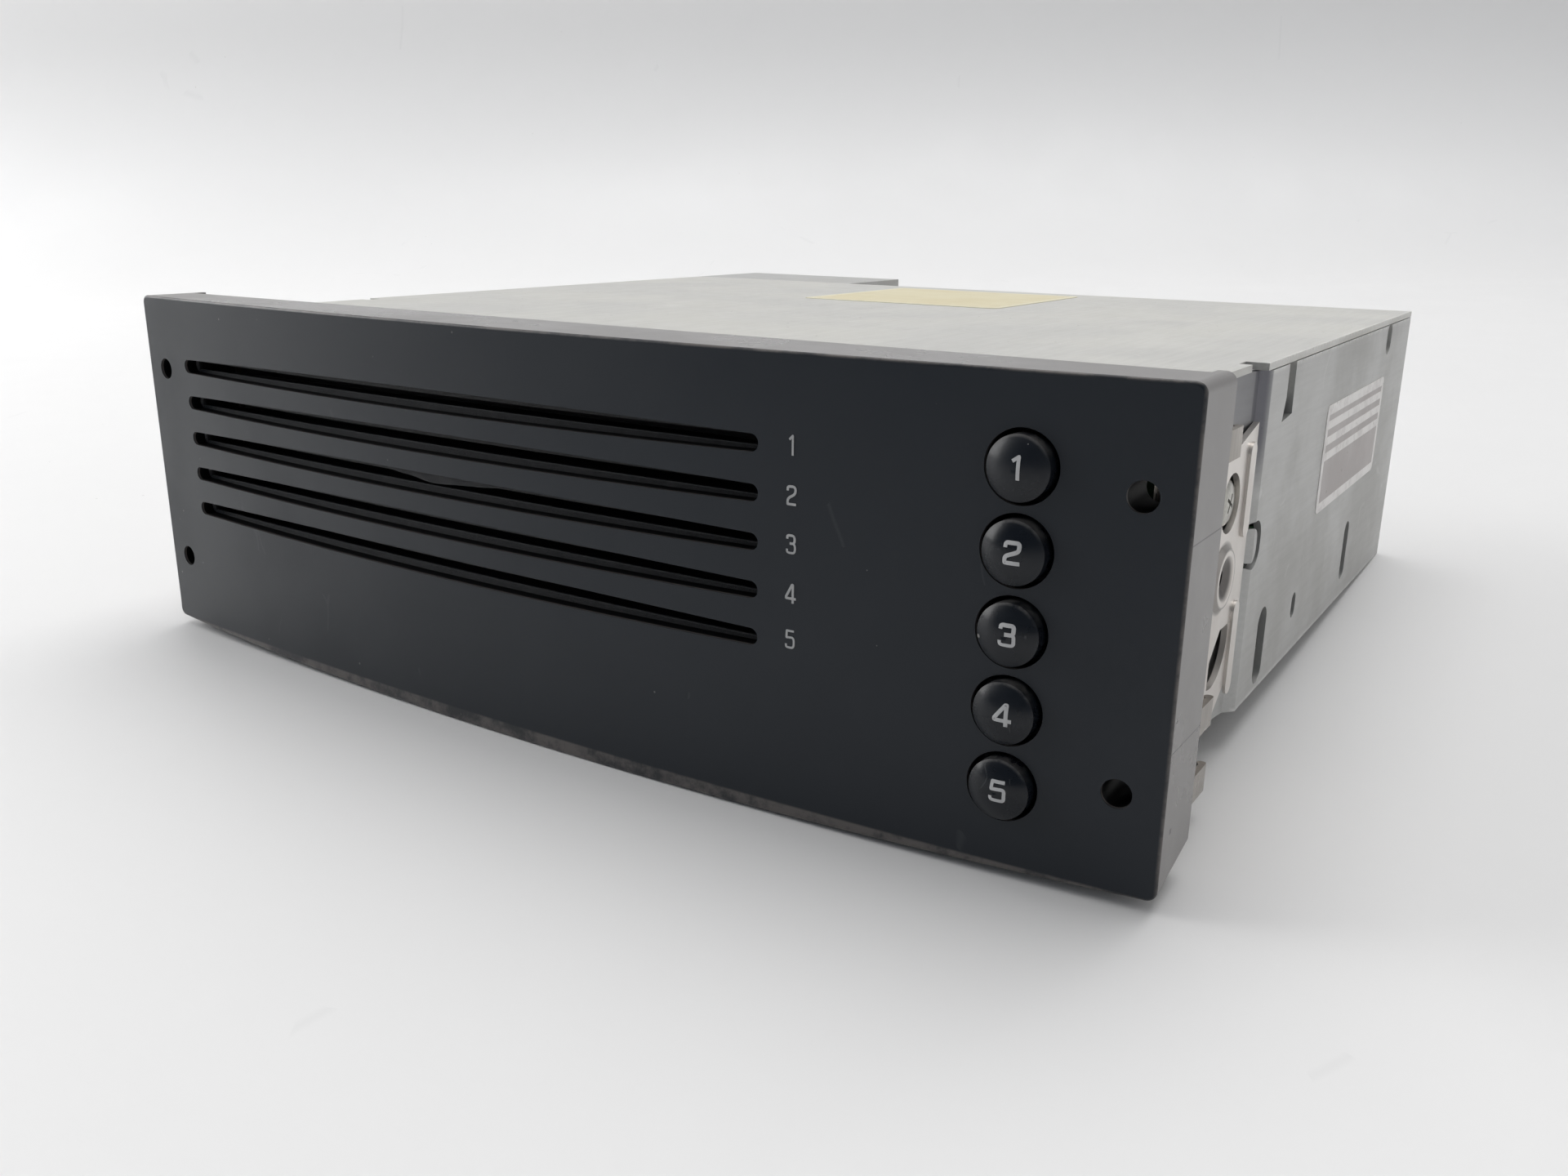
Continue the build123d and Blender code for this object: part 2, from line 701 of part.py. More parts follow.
def make_side_screws():
    """Screws behind the round holes of the side plates, through the drawn-in walls."""
    place = Pos(half_width - recess_depth + side_screw_seat, plate_hole_y, top_z - plate_hole_drop)
    right = place * Rot(0, -90, 0) * make_screw(side_screw_length, side_screw_head)
    return [right, mirror(right, Plane.YZ)]


def rear_screw_places():
    """Where the rear panel is screwed to the flanges of the chassis."""
    side = half_width - 8.0
    drops = [(side, 11.0), (side, 41.0), (-side, 45.6), (-30.0, 7.0)]
    return [(x, top_z - drop) for x, drop in drops]


def make_rear_panel():
    """Rear wall with flanges, a window for the socket board and vents."""
    half = half_width - sheet - seam
    z = (inner_floor + seam, inner_top - seam)
    wall = block((-half, half), (inner_back, chassis_back), z)
    flange = block((half - sheet, half), (inner_back - rear_flange, chassis_back), z)
    foot = block((-half, half), (inner_back - rear_flange, chassis_back), (z[0], z[0] + sheet))
    head = block((-half + 4, half - 4), (inner_back - rear_flange, chassis_back), (z[1] - sheet, z[1]))
    wall += flange + mirror(flange, Plane.YZ) + foot + head
    box_right = -half_width + rear_box_width
    through = (inner_back - 1, chassis_back + 1)
    wall -= block((-half + 3.5, box_right - 3.5), through, (top_z - 31.0, z[1] - 4.0))
    wall -= along_y(stud_neck / 2 + running_gap, stud_x, through, stud_z)
    for i in range(rear_vents):
        middle = half - 43.9 + rear_vent_pitch * i
        vent_x = (middle - vent_width / 2, middle + vent_width / 2)
        wall -= block(vent_x, through, (top_z - 33.0, top_z - 13.0))
    for x, z_place in rear_screw_places():
        wall -= along_y(screw_diameter / 2, x, through, z_place)
    return wall


def make_rear_screws():
    """Screws in the rear panel."""
    screw = Rot(90, 0, 0) * make_screw(rear_screw_length, screw_head)
    return [Pos(x, chassis_back, z) * screw for x, z in rear_screw_places()]


def make_rear_stud():
    """Threaded stud with its collar behind the rear panel and a neck under the nut."""
    thread = (chassis_back + stud_nut_height + slide_gap, chassis_back + stud_length)
    stud = along_y(stud_diameter / 2, stud_x, thread, stud_z)
    stud += along_y(stud_neck / 2, stud_x, (inner_back - 1.5, thread[0] + tiny), stud_z)
    return stud + along_y(stud_nut / 2, stud_x, (inner_back - 2.5, inner_back - tiny), stud_z)


def make_stud_nut():
    """Hexagon nut that holds the stud to the rear panel."""
    hexagon = Pos(stud_x, stud_z) * RegularPolygon(stud_nut / 2, 6)
    nut = front_cut(hexagon, (chassis_back, chassis_back + stud_nut_height))
    bore_y = (chassis_back - 1, chassis_back + stud_nut_height + 1)
    return nut - along_y(stud_neck / 2 + running_gap, stud_x, bore_y, stud_z)


def socket_place():
    """Middle of the connector seen from behind, and its back face."""
    x = -half_width + rear_box_width / 2
    z = (floor_z + rear_box_drop + inner_top) / 2
    return x, z, chassis_back + rear_box_depth + socket_stand


def make_rear_box():
    """Sheet box behind the left half, open to the chassis."""
    x = (-half_width, -half_width + rear_box_width)
    y = (chassis_back, chassis_back + rear_box_depth)
    z = (floor_z + rear_box_drop, top_z)
    box = block(x, y, z)
    box -= block((x[0] + sheet, x[1] - sheet), (y[0] - 1, y[1] - sheet), (z[0] + sheet, z[1] - sheet))
    sx, sz, _ = socket_place()
    box -= block((sx - socket_width / 2 - seam, sx + socket_width / 2 + seam), (y[1] - 2, y[1] + 1),
                 (sz - socket_height / 2 - seam, sz + socket_height / 2 + seam))
    for i in range(4):
        middle = y[0] + 5.5 + 5.0 * i
        box -= block((x[1] - 2, x[1] + 1), (middle - 1.1, middle + 1.1), (sz - 7, sz + 11))
    return box


def make_rear_connector():
    """Socket housing with a deep cavity and a locking notch."""
    sx, sz, back = socket_place()
    body = block((sx - socket_width / 2, sx + socket_width / 2), (back - socket_length, back),
                 (sz - socket_height / 2, sz + socket_height / 2))
    flange_y = chassis_back + rear_box_depth - sheet - seam
    body += block((sx - socket_width / 2 - 2, sx + socket_width / 2 + 2), (flange_y - 1.6, flange_y),
                  (sz - socket_height / 2 - 2, sz + socket_height / 2 + 2))
    cavity = (socket_width / 2 - socket_wall, socket_height / 2 - socket_wall)
    body -= block((sx - cavity[0], sx + cavity[0]), (back - socket_cavity, back + 1),
                  (sz - cavity[1], sz + cavity[1]))
    body -= block((sx - 3, sx + 3), (back - 6, back + 1), (sz + cavity[1] - 1, sz + cavity[1] + 0.9))
    return body


def make_connector_contacts():
    """Two rows of square contacts in the socket."""
    sx, sz, back = socket_place()
    base = back - socket_cavity
    step = (socket_width - 2 * socket_wall) / (socket_pin_columns + 1)
    half = socket_pin / 2
    pins = []
    for row in (-1, 1):
        for column in range(socket_pin_columns):
            x = sx + step * (column - (socket_pin_columns - 1) / 2)
            z = sz + row * socket_height / 5
            pins.append(block((x - half, x + half), (base, base + socket_pin_length), (z - half, z + half)))
    return pins


# Feed rollers

def gear_outline(teeth, phase):
    """Outline of a spur gear with narrow teeth, first tooth at the phase angle."""
    pitch = 360 / teeth
    radius = gear_module * teeth / 2
    root, tip = radius - 1.25 * gear_module, radius + 0.9 * gear_module
    points = []
    for k in range(teeth):
        middle = phase + k * pitch
        for share, distance in ((-0.34, root), (-0.11, tip), (0.11, tip), (0.34, root)):
            angle = math.radians(middle + share * pitch)
            points.append((distance * math.cos(angle), distance * math.sin(angle)))
    return make_face(Polyline(*points, close=True))


def mesh_phase(direction, phase, teeth, other_teeth):
    """Phase of a second gear that meshes with the first in a given direction."""
    first = (direction - phase) * teeth / 360
    return direction + 180 - (0.5 - first) * 360 / other_teeth


idler_phase = mesh_phase(-gear_mesh_angle, 0, gear_teeth, gear_teeth)
pinion_phase = mesh_phase(0, 0, reduction_teeth, gear_teeth)


def make_roller_shaft(z):
    """Steel shaft of one feed roller with the gear on its end."""
    shaft = along_x(roller_shaft_diameter / 2, (left_cheek - 0.6, gear_x + tiny), 0, 0)
    gear = side_cut(gear_outline(gear_teeth, 0), (gear_x, gear_x + gear_width))
    return Pos(0, roller_y, z) * (shaft + gear)


def make_roller_sleeve(z):
    """Rubber sleeve between the cheeks."""
    x = (left_cheek + cheek_thickness + 2 * slide_gap, right_cheek - 2 * slide_gap)
    return along_x(roller_diameter / 2, x, roller_y, z) - along_x(roller_shaft_diameter / 2, x, roller_y, z)


def make_idler(z):
    """Idler that turns one roller gear from the next."""
    gear = side_cut(gear_outline(gear_teeth, idler_phase), (gear_x, gear_x + gear_width))
    gear -= along_x(idler_pin_diameter / 2 + running_gap, (gear_x - 1, gear_x + gear_width + 1), 0, 0)
    return Pos(0, idler_y, z) * gear


def make_reduction_gear():
    """Small gear in mesh with the lowest roller, large gear driven by the motor."""
    small = side_cut(gear_outline(gear_teeth, idler_phase), (gear_x, reduction_x + tiny))
    large = side_cut(gear_outline(reduction_teeth, 0), (reduction_x, reduction_x + reduction_width))
    bore_x = (gear_x - 1, reduction_x + reduction_width + 1)
    gear = small + large - along_x(idler_pin_diameter / 2 + running_gap, bore_x, 0, 0)
    return Pos(0, idler_y, reduction_z) * gear


def idler_heights():
    """Heights of the idlers, half way between neighbouring rollers."""
    return [z - idler_step for z in roller_z[:-1]]


def make_gear_pins():
    """Pins on the right cheek that carry the idlers and the reduction gear."""
    start = right_cheek + cheek_thickness
    radius = idler_pin_diameter / 2
    short = (start, gear_x + gear_width + seat_gap)
    long = (start, reduction_x + reduction_width + seat_gap)
    pins = [along_x(radius, short, idler_y, z) for z in idler_heights()]
    return pins + [along_x(radius, long, idler_y, reduction_z)]


def make_motor_pinion():
    """Small gear on the feed motor's shaft."""
    gear = side_cut(gear_outline(gear_teeth, pinion_phase), (reduction_x, reduction_x + reduction_width))
    shaft = along_x(0.75, (reduction_x - tiny, motor_plate_x + sheet + 0.5), 0, 0)
    return Pos(0, feed_motor_y, reduction_z) * (gear + shaft)


def make_feed_frame():
    """Cheeks joined by rails behind the slot shroud: notches at the left, bearings at the gears."""
    z = (inner_floor + 0.02, slot_z[0] + 4.2)
    y = (cheek_front, cheek_back)
    left = block((left_cheek, left_cheek + cheek_thickness), (y[0], y[1] - 4), z)
    right = block((right_cheek, right_cheek + cheek_thickness), y, z)
    low = block((left_cheek, right_cheek + cheek_thickness), (y[0] + 1, y[0] + 9), (z[0], z[0] + 2.0))
    high = block((left_cheek, right_cheek + cheek_thickness), (y[0] + 1, y[0] + 9), (z[1] - 1.6, z[1]))
    frame = left + right + low + high
    bore = roller_shaft_diameter / 2 + running_gap
    for height in roller_z:
        frame -= along_x(bore, (right_cheek - 1, right_cheek + cheek_thickness + 1), roller_y, height)
        frame -= block((left_cheek - 1, left_cheek + cheek_thickness + 1), (y[0] - 1, roller_y + bore),
                       (height - bore, height + bore))
    return frame


def make_guide_strips():
    """Slippery strips that press each disc down on its roller."""
    strips = []
    for z in slot_z:
        low = z + guide_strip_gap
        x = (left_cheek + cheek_thickness, right_cheek)
        strips.append(block(x, (roller_y - 3.2, roller_y + 3.2), (low, low + guide_strip)))
    return strips


def make_feed_motor():
    """Round motor with a flat back cap."""
    x = (motor_plate_x + sheet, motor_plate_x + sheet + motor_length)
    can = along_x(motor_diameter / 2, x, feed_motor_y, reduction_z)
    can += along_x(2.0, (x[1] - tiny, x[1] + 1.5), feed_motor_y, reduction_z)
    return can - along_x(0.75 + running_gap, (x[0] - 1, x[0] + 1), feed_motor_y, reduction_z)


def make_feed_bracket():
    """Angle that carries the feed motor on the chassis floor."""
    y = (feed_motor_y - motor_diameter / 2 - 1, feed_motor_y + motor_diameter / 2 + 1)
    x = (motor_plate_x, motor_plate_x + sheet)
    upright = block(x, y, (inner_floor, reduction_z + motor_diameter / 2))
    foot = block((x[0], x[0] + 14), y, (inner_floor, inner_floor + sheet))
    bracket = upright + foot
    return bracket - along_x(1.6, (x[0] - 1, x[1] + 1), feed_motor_y, reduction_z)


# Disc trays and the cam plate that spreads them

def tray_shift(index):
    """How far a tray moves when the cam plate has run its full travel."""
    return -tray_fall if index == slot_count - 1 else tray_rise


def make_tray(index):
    """Thin tray with rails and stops round the disc, a bay for the pickup, forks and cam pins."""
    top = tray_top[index]
    z = (top - tray_sheet, top)
    tray = block((tray_left, tray_right), (tray_front, tray_back), z)
    half = tray_window / 2
    through = (z[0] - 1, z[1] + 1)
    tray -= block((tray_left - 1, slot_middle_x + half), (spindle_y - half, spindle_y + half), through)
    reach = disc_diameter / 2 + 0.8
    rim = (top - tiny, top + tray_rim)
    ends = ((tray_front, spindle_y - half), (spindle_y + half, tray_back))
    tray += block((slot_middle_x + reach, tray_right), (tray_front, tray_back), rim)
    for end in ends:
        tray += block((tray_left, slot_middle_x - reach), end, rim)
    for corner, side in ((tray_left, 1), (tray_right, -1)):
        leg = abs(corner - slot_middle_x) + tray_back - spindle_y - reach * math.sqrt(2)
        points = [(corner, tray_back), (corner + side * leg, tray_back), (corner, tray_back - leg)]
        stop = Polyline(*points, close=True)
        tray += extrude(Pos(0, 0, rim[0]) * make_face(stop), rim[1] - rim[0], dir=(0, 0, 1))
    fork = post_diameter / 2 + slide_gap
    for x, way in zip(post_x, (-1, 1)):
        for y in post_y:
            tray += block((x - post_lug / 2, x + post_lug / 2), (y - post_lug / 2, y + post_lug / 2), z)
            notch = sorted((x - way * fork, x + way * post_lug))
            tray -= block(notch, (y - fork, y + fork), through)
    pin_x = (tray_right - 3, cam_x + cam_sheet + 0.5)
    for y in cam_pin_y:
        tray += along_x(tray_pin_diameter / 2, pin_x, y, pin_height(index))
    return tray


def pin_height(index):
    """Height of a tray's cam pins before it moves."""
    return tray_top[index] - tray_sheet / 2 + tray_pin_diameter / 2 - 0.3


def make_guide_posts():
    """Steel posts on which the trays move up and down."""
    z = (inner_floor, inner_top - 1.0)
    return [along_z(post_diameter / 2, x, y, z) for x in post_x for y in post_y]


def cam_slot(index, y):
    """Slanted slot that lifts or lowers one tray's pin as the plate slides."""
    slope = -tray_shift(index) / cam_travel
    radius = tray_pin_diameter / 2 + slide_gap
    half = radius * math.hypot(1, slope)
    near, far = y + radius, y - cam_travel - radius
    near_z = pin_height(index) + slope * radius
    far_z = pin_height(index) - slope * (cam_travel + radius)
    corners = [(near, near_z - half), (near, near_z + half), (far, far_z + half), (far, far_z - half)]
    return side_cut(make_face(Polyline(*corners, close=True)), (cam_x - 1, cam_x + cam_sheet + 1))


def make_cam_plate():
    """Sliding plate with two slanted slots for each tray and a nut for its screw."""
    z = (inner_floor + sheet + slide_gap, slot_z[0] + 4.6)
    plate = block((cam_x, cam_x + cam_sheet), (cam_front, cam_front + cam_length), z)
    for index in range(slot_count):
        for y in cam_pin_y:
            plate -= cam_slot(index, y)
    nut = block((cam_x + cam_sheet - tiny, cam_screw_x + cam_screw_diameter),
                (cam_nut_y, cam_nut_y + cam_nut_length),
                (cam_screw_z - cam_screw_diameter, cam_screw_z + cam_screw_diameter))
    plate += nut
    bore = cam_screw_diameter / 2 + running_gap
    return plate - along_y(bore, cam_screw_x, (cam_nut_y - 1, cam_nut_y + cam_nut_length + 1), cam_screw_z)


def make_cam_rail():
    """Channel on the chassis floor in which the cam plate slides."""
    x = (cam_x - slide_gap - cam_rail_wall, cam_x + cam_sheet + slide_gap + cam_rail_wall)
    y = (cam_front, cam_front + cam_length + cam_travel)
    rail = block(x, y, (inner_floor, inner_floor + cam_rail_height))
    return rail - block((x[0] + cam_rail_wall, x[1] - cam_rail_wall), (y[0] - 1, y[1] + 1),
                        (inner_floor + sheet, inner_floor + cam_rail_height + 1))


def make_cam_screw():
    """Lead screw of the cam plate, running into its motor."""
    front, back = cam_bearing_y
    thread_y = (front + sheet + slide_gap, back - slide_gap)
    screw = along_y(cam_screw_diameter / 2, cam_screw_x, thread_y, cam_screw_z)
    neck_y = (front - 0.5, back + sheet + 0.8)
    return screw + along_y(cam_neck_diameter / 2, cam_screw_x, neck_y, cam_screw_z)


def make_cam_bracket():
    """Bracket with two ears that carry the cam screw."""
    front, back = cam_bearing_y
    x = (cam_screw_x - 3.0, cam_screw_x + 3.0)
    z = (inner_floor, cam_screw_z + 3.2)
    bracket = block(x, (front, back + sheet), (inner_floor, inner_floor + sheet))
    for y in (front, back):
        bracket += block(x, (y, y + sheet), z)
        bore = cam_neck_diameter / 2 + running_gap
        bracket -= along_y(bore, cam_screw_x, (y - 1, y + sheet + 1), cam_screw_z)
    return bracket


def make_cam_motor():
    """Motor behind the cam bracket's rear ear."""
    y = (cam_bearing_y[1] + sheet, cam_bearing_y[1] + sheet + motor_length)
    can = along_y(cam_motor_diameter / 2, cam_screw_x, y, cam_screw_z)
    return can - along_y(cam_neck_diameter / 2 + running_gap, cam_screw_x, (y[0] - 1, y[0] + 1), cam_screw_z)


# Play deck

def deck_post_places():
    """Where the three posts of the play deck stand on the floor."""
    left, right = deck_left + 12.0, deck_right - 6.0
    near, far = spindle_y - deck_half_depth + 5.0, spindle_y + deck_half_depth - 4.4
    return [(left, near), (left, far), (right, spindle_y)]


def make_deck_plate():
    """Sheet plate with a window for the sled and holders for its rods."""
    depth = (spindle_y - deck_half_depth, spindle_y + deck_half_depth)
    plate = block((deck_left, deck_right), depth, (deck_z, deck_top))
    through = (deck_z - 1, deck_top + 1)
    reach = rod_half_spacing + 3.0
    plate -= block((sled_window_left, sled_window_right), (spindle_y - reach, spindle_y + reach), through)
    plate -= along_z(spindle_shaft_diameter / 2 + 1.5, slot_middle_x, spindle_y, through)
    motor_half = sled_motor_diameter / 2 + 0.3
    motor_y = (screw_line_y - motor_half, screw_line_y + motor_half)
    plate -= block((sled_motor_x - 1, sled_motor_x + sled_motor_length), motor_y, through)
    notch = rod_diameter / 2 + running_gap
    rod_top = rod_z + rod_diameter / 2
    for place in rod_y:
        for holder in ((deck_left, sled_window_left), (sled_window_right, sled_window_right + rod_holder)):
            plate += block(holder, (place - 2.2, place + 2.2), (deck_top - tiny, rod_top + 0.1))
        seat = (sled_window_left - rod_holder + 0.6, sled_window_right + rod_holder - 0.6)
        plate -= block(seat, (place - notch, place + notch), (rod_z - notch, rod_top + 2))
    return plate


def make_deck_dampers():
    """Rubber mounts between the posts and the deck plate."""
    z = (deck_z - damper_height, deck_z)
    return [along_z(damper_diameter / 2, x, y, z) for x, y in deck_post_places()]


def make_deck_posts():
    """Posts that stand on the floor and carry the dampers."""
    z = (inner_floor, deck_z - damper_height)
    return [along_z(deck_post_diameter / 2, x, y, z) for x, y in deck_post_places()]


def make_spindle_motor():
    """Flat motor under the deck plate."""
    low = deck_z - spindle_motor_height
    body = along_z(spindle_motor_diameter / 2, slot_middle_x, spindle_y, (low, deck_z))
    bore = spindle_shaft_diameter / 2 + running_gap
    return body - along_z(bore, slot_middle_x, spindle_y, (low + 1, deck_z + 1))


def make_turntable():
    """Turntable with a tapered hub, on the motor's shaft."""
    low = turntable_top - turntable_thickness
    half, hub = turntable_diameter / 2, hub_diameter / 2
    high = turntable_top + hub_height
    corners = [(0, low), (half, low), (half, turntable_top), (hub, turntable_top)]
    corners += [(hub - 1.6, high), (0, high)]
    disc = revolve(Rot(90, 0, 0) * make_face(Polyline(*corners, close=True)), Axis.Z)
    shaft = along_z(spindle_shaft_diameter / 2, 0, 0, (deck_z - spindle_motor_height + 1.2, low + tiny))
    return Pos(slot_middle_x, spindle_y, 0) * (disc + shaft)


def make_guide_rods():
    """Two rods on which the pickup slides."""
    x = (deck_left + 0.8, sled_window_right + rod_holder - 0.8)
    return [along_x(rod_diameter / 2, x, y, rod_z) for y in rod_y]


def make_pickup_sled():
    """Pickup body with bushings round one rod and a fork on the other."""
    lens_x = slot_middle_x - sled_start
    x = (lens_x - sled_half_length, lens_x + sled_half_length)
    bush = rod_diameter / 2 + 0.7
    body = block((x[0], x[1]), (rod_y[0] - bush, rod_y[0] + bush), (rod_z - bush, rod_z + bush))
    body += block((x[0] + 0.8, x[1] - 0.8), (rod_y[0] + 1, rod_y[1] - 9.0), (deck_z - 3.4, sled_top))
    fork = block((lens_x - 4, lens_x + 4), (rod_y[1] - 10.0, rod_y[1] + 2.0), (rod_z - bush, rod_z + bush))
    body += fork
    hole = rod_diameter / 2 + running_gap
    body -= along_x(hole, (x[0] - 1, x[1] + 1), rod_y[0], rod_z)
    body -= block((lens_x - 5, lens_x + 5), (rod_y[1] - hole, rod_y[1] + 3.0), (rod_z - hole, rod_z + hole))
    finger_low = screw_line_z - sled_screw_diameter / 2 - slide_gap
    finger_x = (lens_x - 2, lens_x + 2)
    finger_y = rod_y[1] - 10.0
    body += block(finger_x, (finger_y, screw_line_y + 1.0), (finger_low - 1.0, finger_low))
    return body + block(finger_x, (finger_y, finger_y + 3.0), (finger_low - 1.0, rod_z))


def make_pickup_lens():
    """Lens in its ring on top of the sled."""
    lens_x = slot_middle_x - sled_start
    ring = along_z(3.0, lens_x, spindle_y, (sled_top, sled_top + 0.5))
    return ring + Pos(lens_x, spindle_y, sled_top + 0.6) * Cone(2.0, 1.2, 0.6)


def make_sled_screw():
    """Screw that moves the sled, coaxial with its motor."""
    x = (deck_left + 4.0, sled_motor_x - 0.2)
    screw = along_x(sled_screw_diameter / 2, x, screw_line_y, screw_line_z)
    return screw + along_x(sled_neck_diameter / 2, (x[0] - 2.6, x[1] + 1.4), screw_line_y, screw_line_z)


def make_sled_motor():
    """Small motor hung in a cut-out of the deck plate, with the screw's far bearing."""
    x = (sled_motor_x, sled_motor_x + sled_motor_length - 1.0)
    bore = sled_neck_diameter / 2 + running_gap
    can = along_x(sled_motor_diameter / 2, x, screw_line_y, screw_line_z)
    can -= along_x(bore, (x[0] - 1, x[0] + 2.0), screw_line_y, screw_line_z)
    ear_x = (deck_left + 1.6, deck_left + 3.2)
    ear = block(ear_x, (screw_line_y - 2, screw_line_y + 2), (screw_line_z - 2, deck_z))
    return [can, ear - along_x(bore, (deck_left, deck_left + 5), screw_line_y, screw_line_z)]


# Boards

def make_main_board():
    """Board on the floor of the right bay."""
    low = inner_floor + standoff
    x = (main_board_left, half_width - sheet - main_board_edge)
    return block(x, (main_board_front, inner_back - main_board_back), (low, low + board))


def make_board_standoffs():
    """Square pillars under the main board."""
    half = standoff_width / 2
    columns = (main_board_left + standoff_width, half_width - sheet - main_board_edge - standoff_width)
    rows = (main_board_front + 5, inner_back - main_board_back - 6)
    z = (inner_floor, inner_floor + standoff)
    return [block((x - half, x + half), (y - half, y + half), z) for x in columns for y in rows]


def make_board_chips():
    """Chips and coils on the main board."""
    low = inner_floor + standoff + board
    blocks = []
    for x, y, width, depth, tall in chips:
        left, near = main_board_left + x, main_board_front + y
        blocks.append(block((left, left + width), (near, near + depth), (low, low + tall)))
    return blocks


def make_board_capacitors():
    """Electrolytic capacitors on the main board."""
    low = inner_floor + standoff + board
    left, near = main_board_left, main_board_front
    return [along_z(capacitor_diameter / 2, left + x, near + y, (low, low + tall))
            for x, y, tall in capacitors]


def make_socket_board():
    """Small upright board that carries the rear connector."""
    sx, sz, back = socket_place()
    y = back - socket_length - board
    return block((sx - 19, sx + 19), (y, y + board), (sz - 13, sz + 13))


nodes = {
    "front_panel": make_front_panel(),
    "keypad_mat": make_keypad_mat(),
    "switch_board": make_switch_board(),
    "dust_curtain": make_dust_curtain(),
    "slot_shroud": make_slot_shroud(),
    "front_frame": make_front_frame(),
    "chassis_tray": make_chassis_tray(),
    "top_cover": make_top_cover(),
    "side_plate_right": make_side_plate(),
    "side_plate_left": mirror(make_side_plate(), Plane.YZ),
    "screws": make_side_screws() + make_board_screws() + make_rear_screws(),
    "rear_panel": make_rear_panel(),
    "rear_stud": [make_rear_stud(), make_stud_nut()],
    "rear_box": make_rear_box(),
    "rear_connector": make_rear_connector(),
    "connector_contacts": make_connector_contacts(),
    "feed_frame": make_feed_frame(),
    "guide_strips": make_guide_strips(),
    "gear_pins": make_gear_pins(),
    "reduction_gear": make_reduction_gear(),
    "motor_pinion": make_motor_pinion(),
    "feed_motor": make_feed_motor(),
    "motor_brackets": [make_feed_bracket(), make_cam_bracket()],
    "guide_posts": make_guide_posts(),
    "cam_plate": make_cam_plate(),
    "cam_rail": make_cam_rail(),
    "cam_screw": make_cam_screw(),
    "cam_motor": make_cam_motor(),
    "deck_plate": make_deck_plate(),
    "deck_dampers": make_deck_dampers(),
    "deck_posts": make_deck_posts(),
    "spindle_motor": make_spindle_motor(),
    "turntable": make_turntable(),
    "guide_rods": make_guide_rods(),
    "pickup_sled": make_pickup_sled(),
    "pickup_lens": make_pickup_lens(),
    "sled_screw": make_sled_screw(),
    "sled_motor": make_sled_motor(),
    "main_board": make_main_board(),
    "board_parts": make_board_standoffs() + make_board_chips() + make_board_capacitors(),
    "socket_board": make_socket_board(),
}
for i, z in enumerate(button_z):
    nodes[f"button_{i + 1}"] = make_button(z)
for i, z in enumerate(roller_z):
    nodes[f"feed_roller_{i + 1}"] = [make_roller_shaft(z), make_roller_sleeve(z)]
for i, z in enumerate(idler_heights()):
    nodes[f"idler_gear_{i + 1}"] = make_idler(z)
for i in range(slot_count):
    nodes[f"disc_tray_{i + 1}"] = make_tray(i)

os.makedirs("parts", exist_ok=True)
for name, shape in nodes.items():
    solid = Compound(children=list(shape)) if isinstance(shape, list) else shape
    export_step(solid, f"parts/{name}.step")
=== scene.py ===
"""Dresses the five-slot car disc changer for its portrait, in metres, in the frame of its solids."""
import json
import logging
import math
from dataclasses import dataclass, field
from enum import Enum
from typing import Callable, Iterable, Optional, Sequence, Union

import bpy
from mathutils import Matrix, Vector


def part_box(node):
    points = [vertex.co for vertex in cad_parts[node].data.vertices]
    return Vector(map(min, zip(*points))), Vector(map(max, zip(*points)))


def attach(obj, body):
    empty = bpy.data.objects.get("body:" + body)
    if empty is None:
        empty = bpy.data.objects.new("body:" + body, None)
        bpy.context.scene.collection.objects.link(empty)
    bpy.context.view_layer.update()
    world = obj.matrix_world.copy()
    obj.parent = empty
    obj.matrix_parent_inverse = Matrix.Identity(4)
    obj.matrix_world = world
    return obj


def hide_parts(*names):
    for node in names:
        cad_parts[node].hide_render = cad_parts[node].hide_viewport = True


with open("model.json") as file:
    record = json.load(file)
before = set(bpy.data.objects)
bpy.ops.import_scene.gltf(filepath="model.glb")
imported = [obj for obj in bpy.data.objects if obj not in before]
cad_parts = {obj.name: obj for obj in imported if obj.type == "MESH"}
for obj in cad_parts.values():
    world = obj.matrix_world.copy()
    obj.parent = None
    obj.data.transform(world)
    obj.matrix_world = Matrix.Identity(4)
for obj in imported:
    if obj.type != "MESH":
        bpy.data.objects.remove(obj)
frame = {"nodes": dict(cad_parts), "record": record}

LOG = logging.getLogger("disc_changer")
MM = 0.001
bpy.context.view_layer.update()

# The panel's bow and the row of caps, in millimetres, which the finishes and the pieces share
HALF_WIDTH = 94.0
HALF_HEIGHT = 29.65
BULGE = 4.0
BOW_RADIUS = (HALF_WIDTH ** 2 + BULGE ** 2) / (2 * BULGE)
CAP_COUNT = 5
CAP_PITCH = 9.6
CAP_X = 75.0
CAP_TOP = 18.95

Socket = bpy.types.NodeSocket
Number = Union[float, Socket]
Colour = tuple[float, float, float]
Place = tuple[float, float, float]


class Brush(Enum):
    """Direction of the rolling or brushing lines on a sheet or a turned piece."""

    ALONG_X = (0.04, 1.0, 1.0)
    ALONG_Y = (1.0, 0.04, 1.0)
    ALONG_Z = (1.0, 1.0, 0.04)
    EVEN = (1.0, 1.0, 1.0)


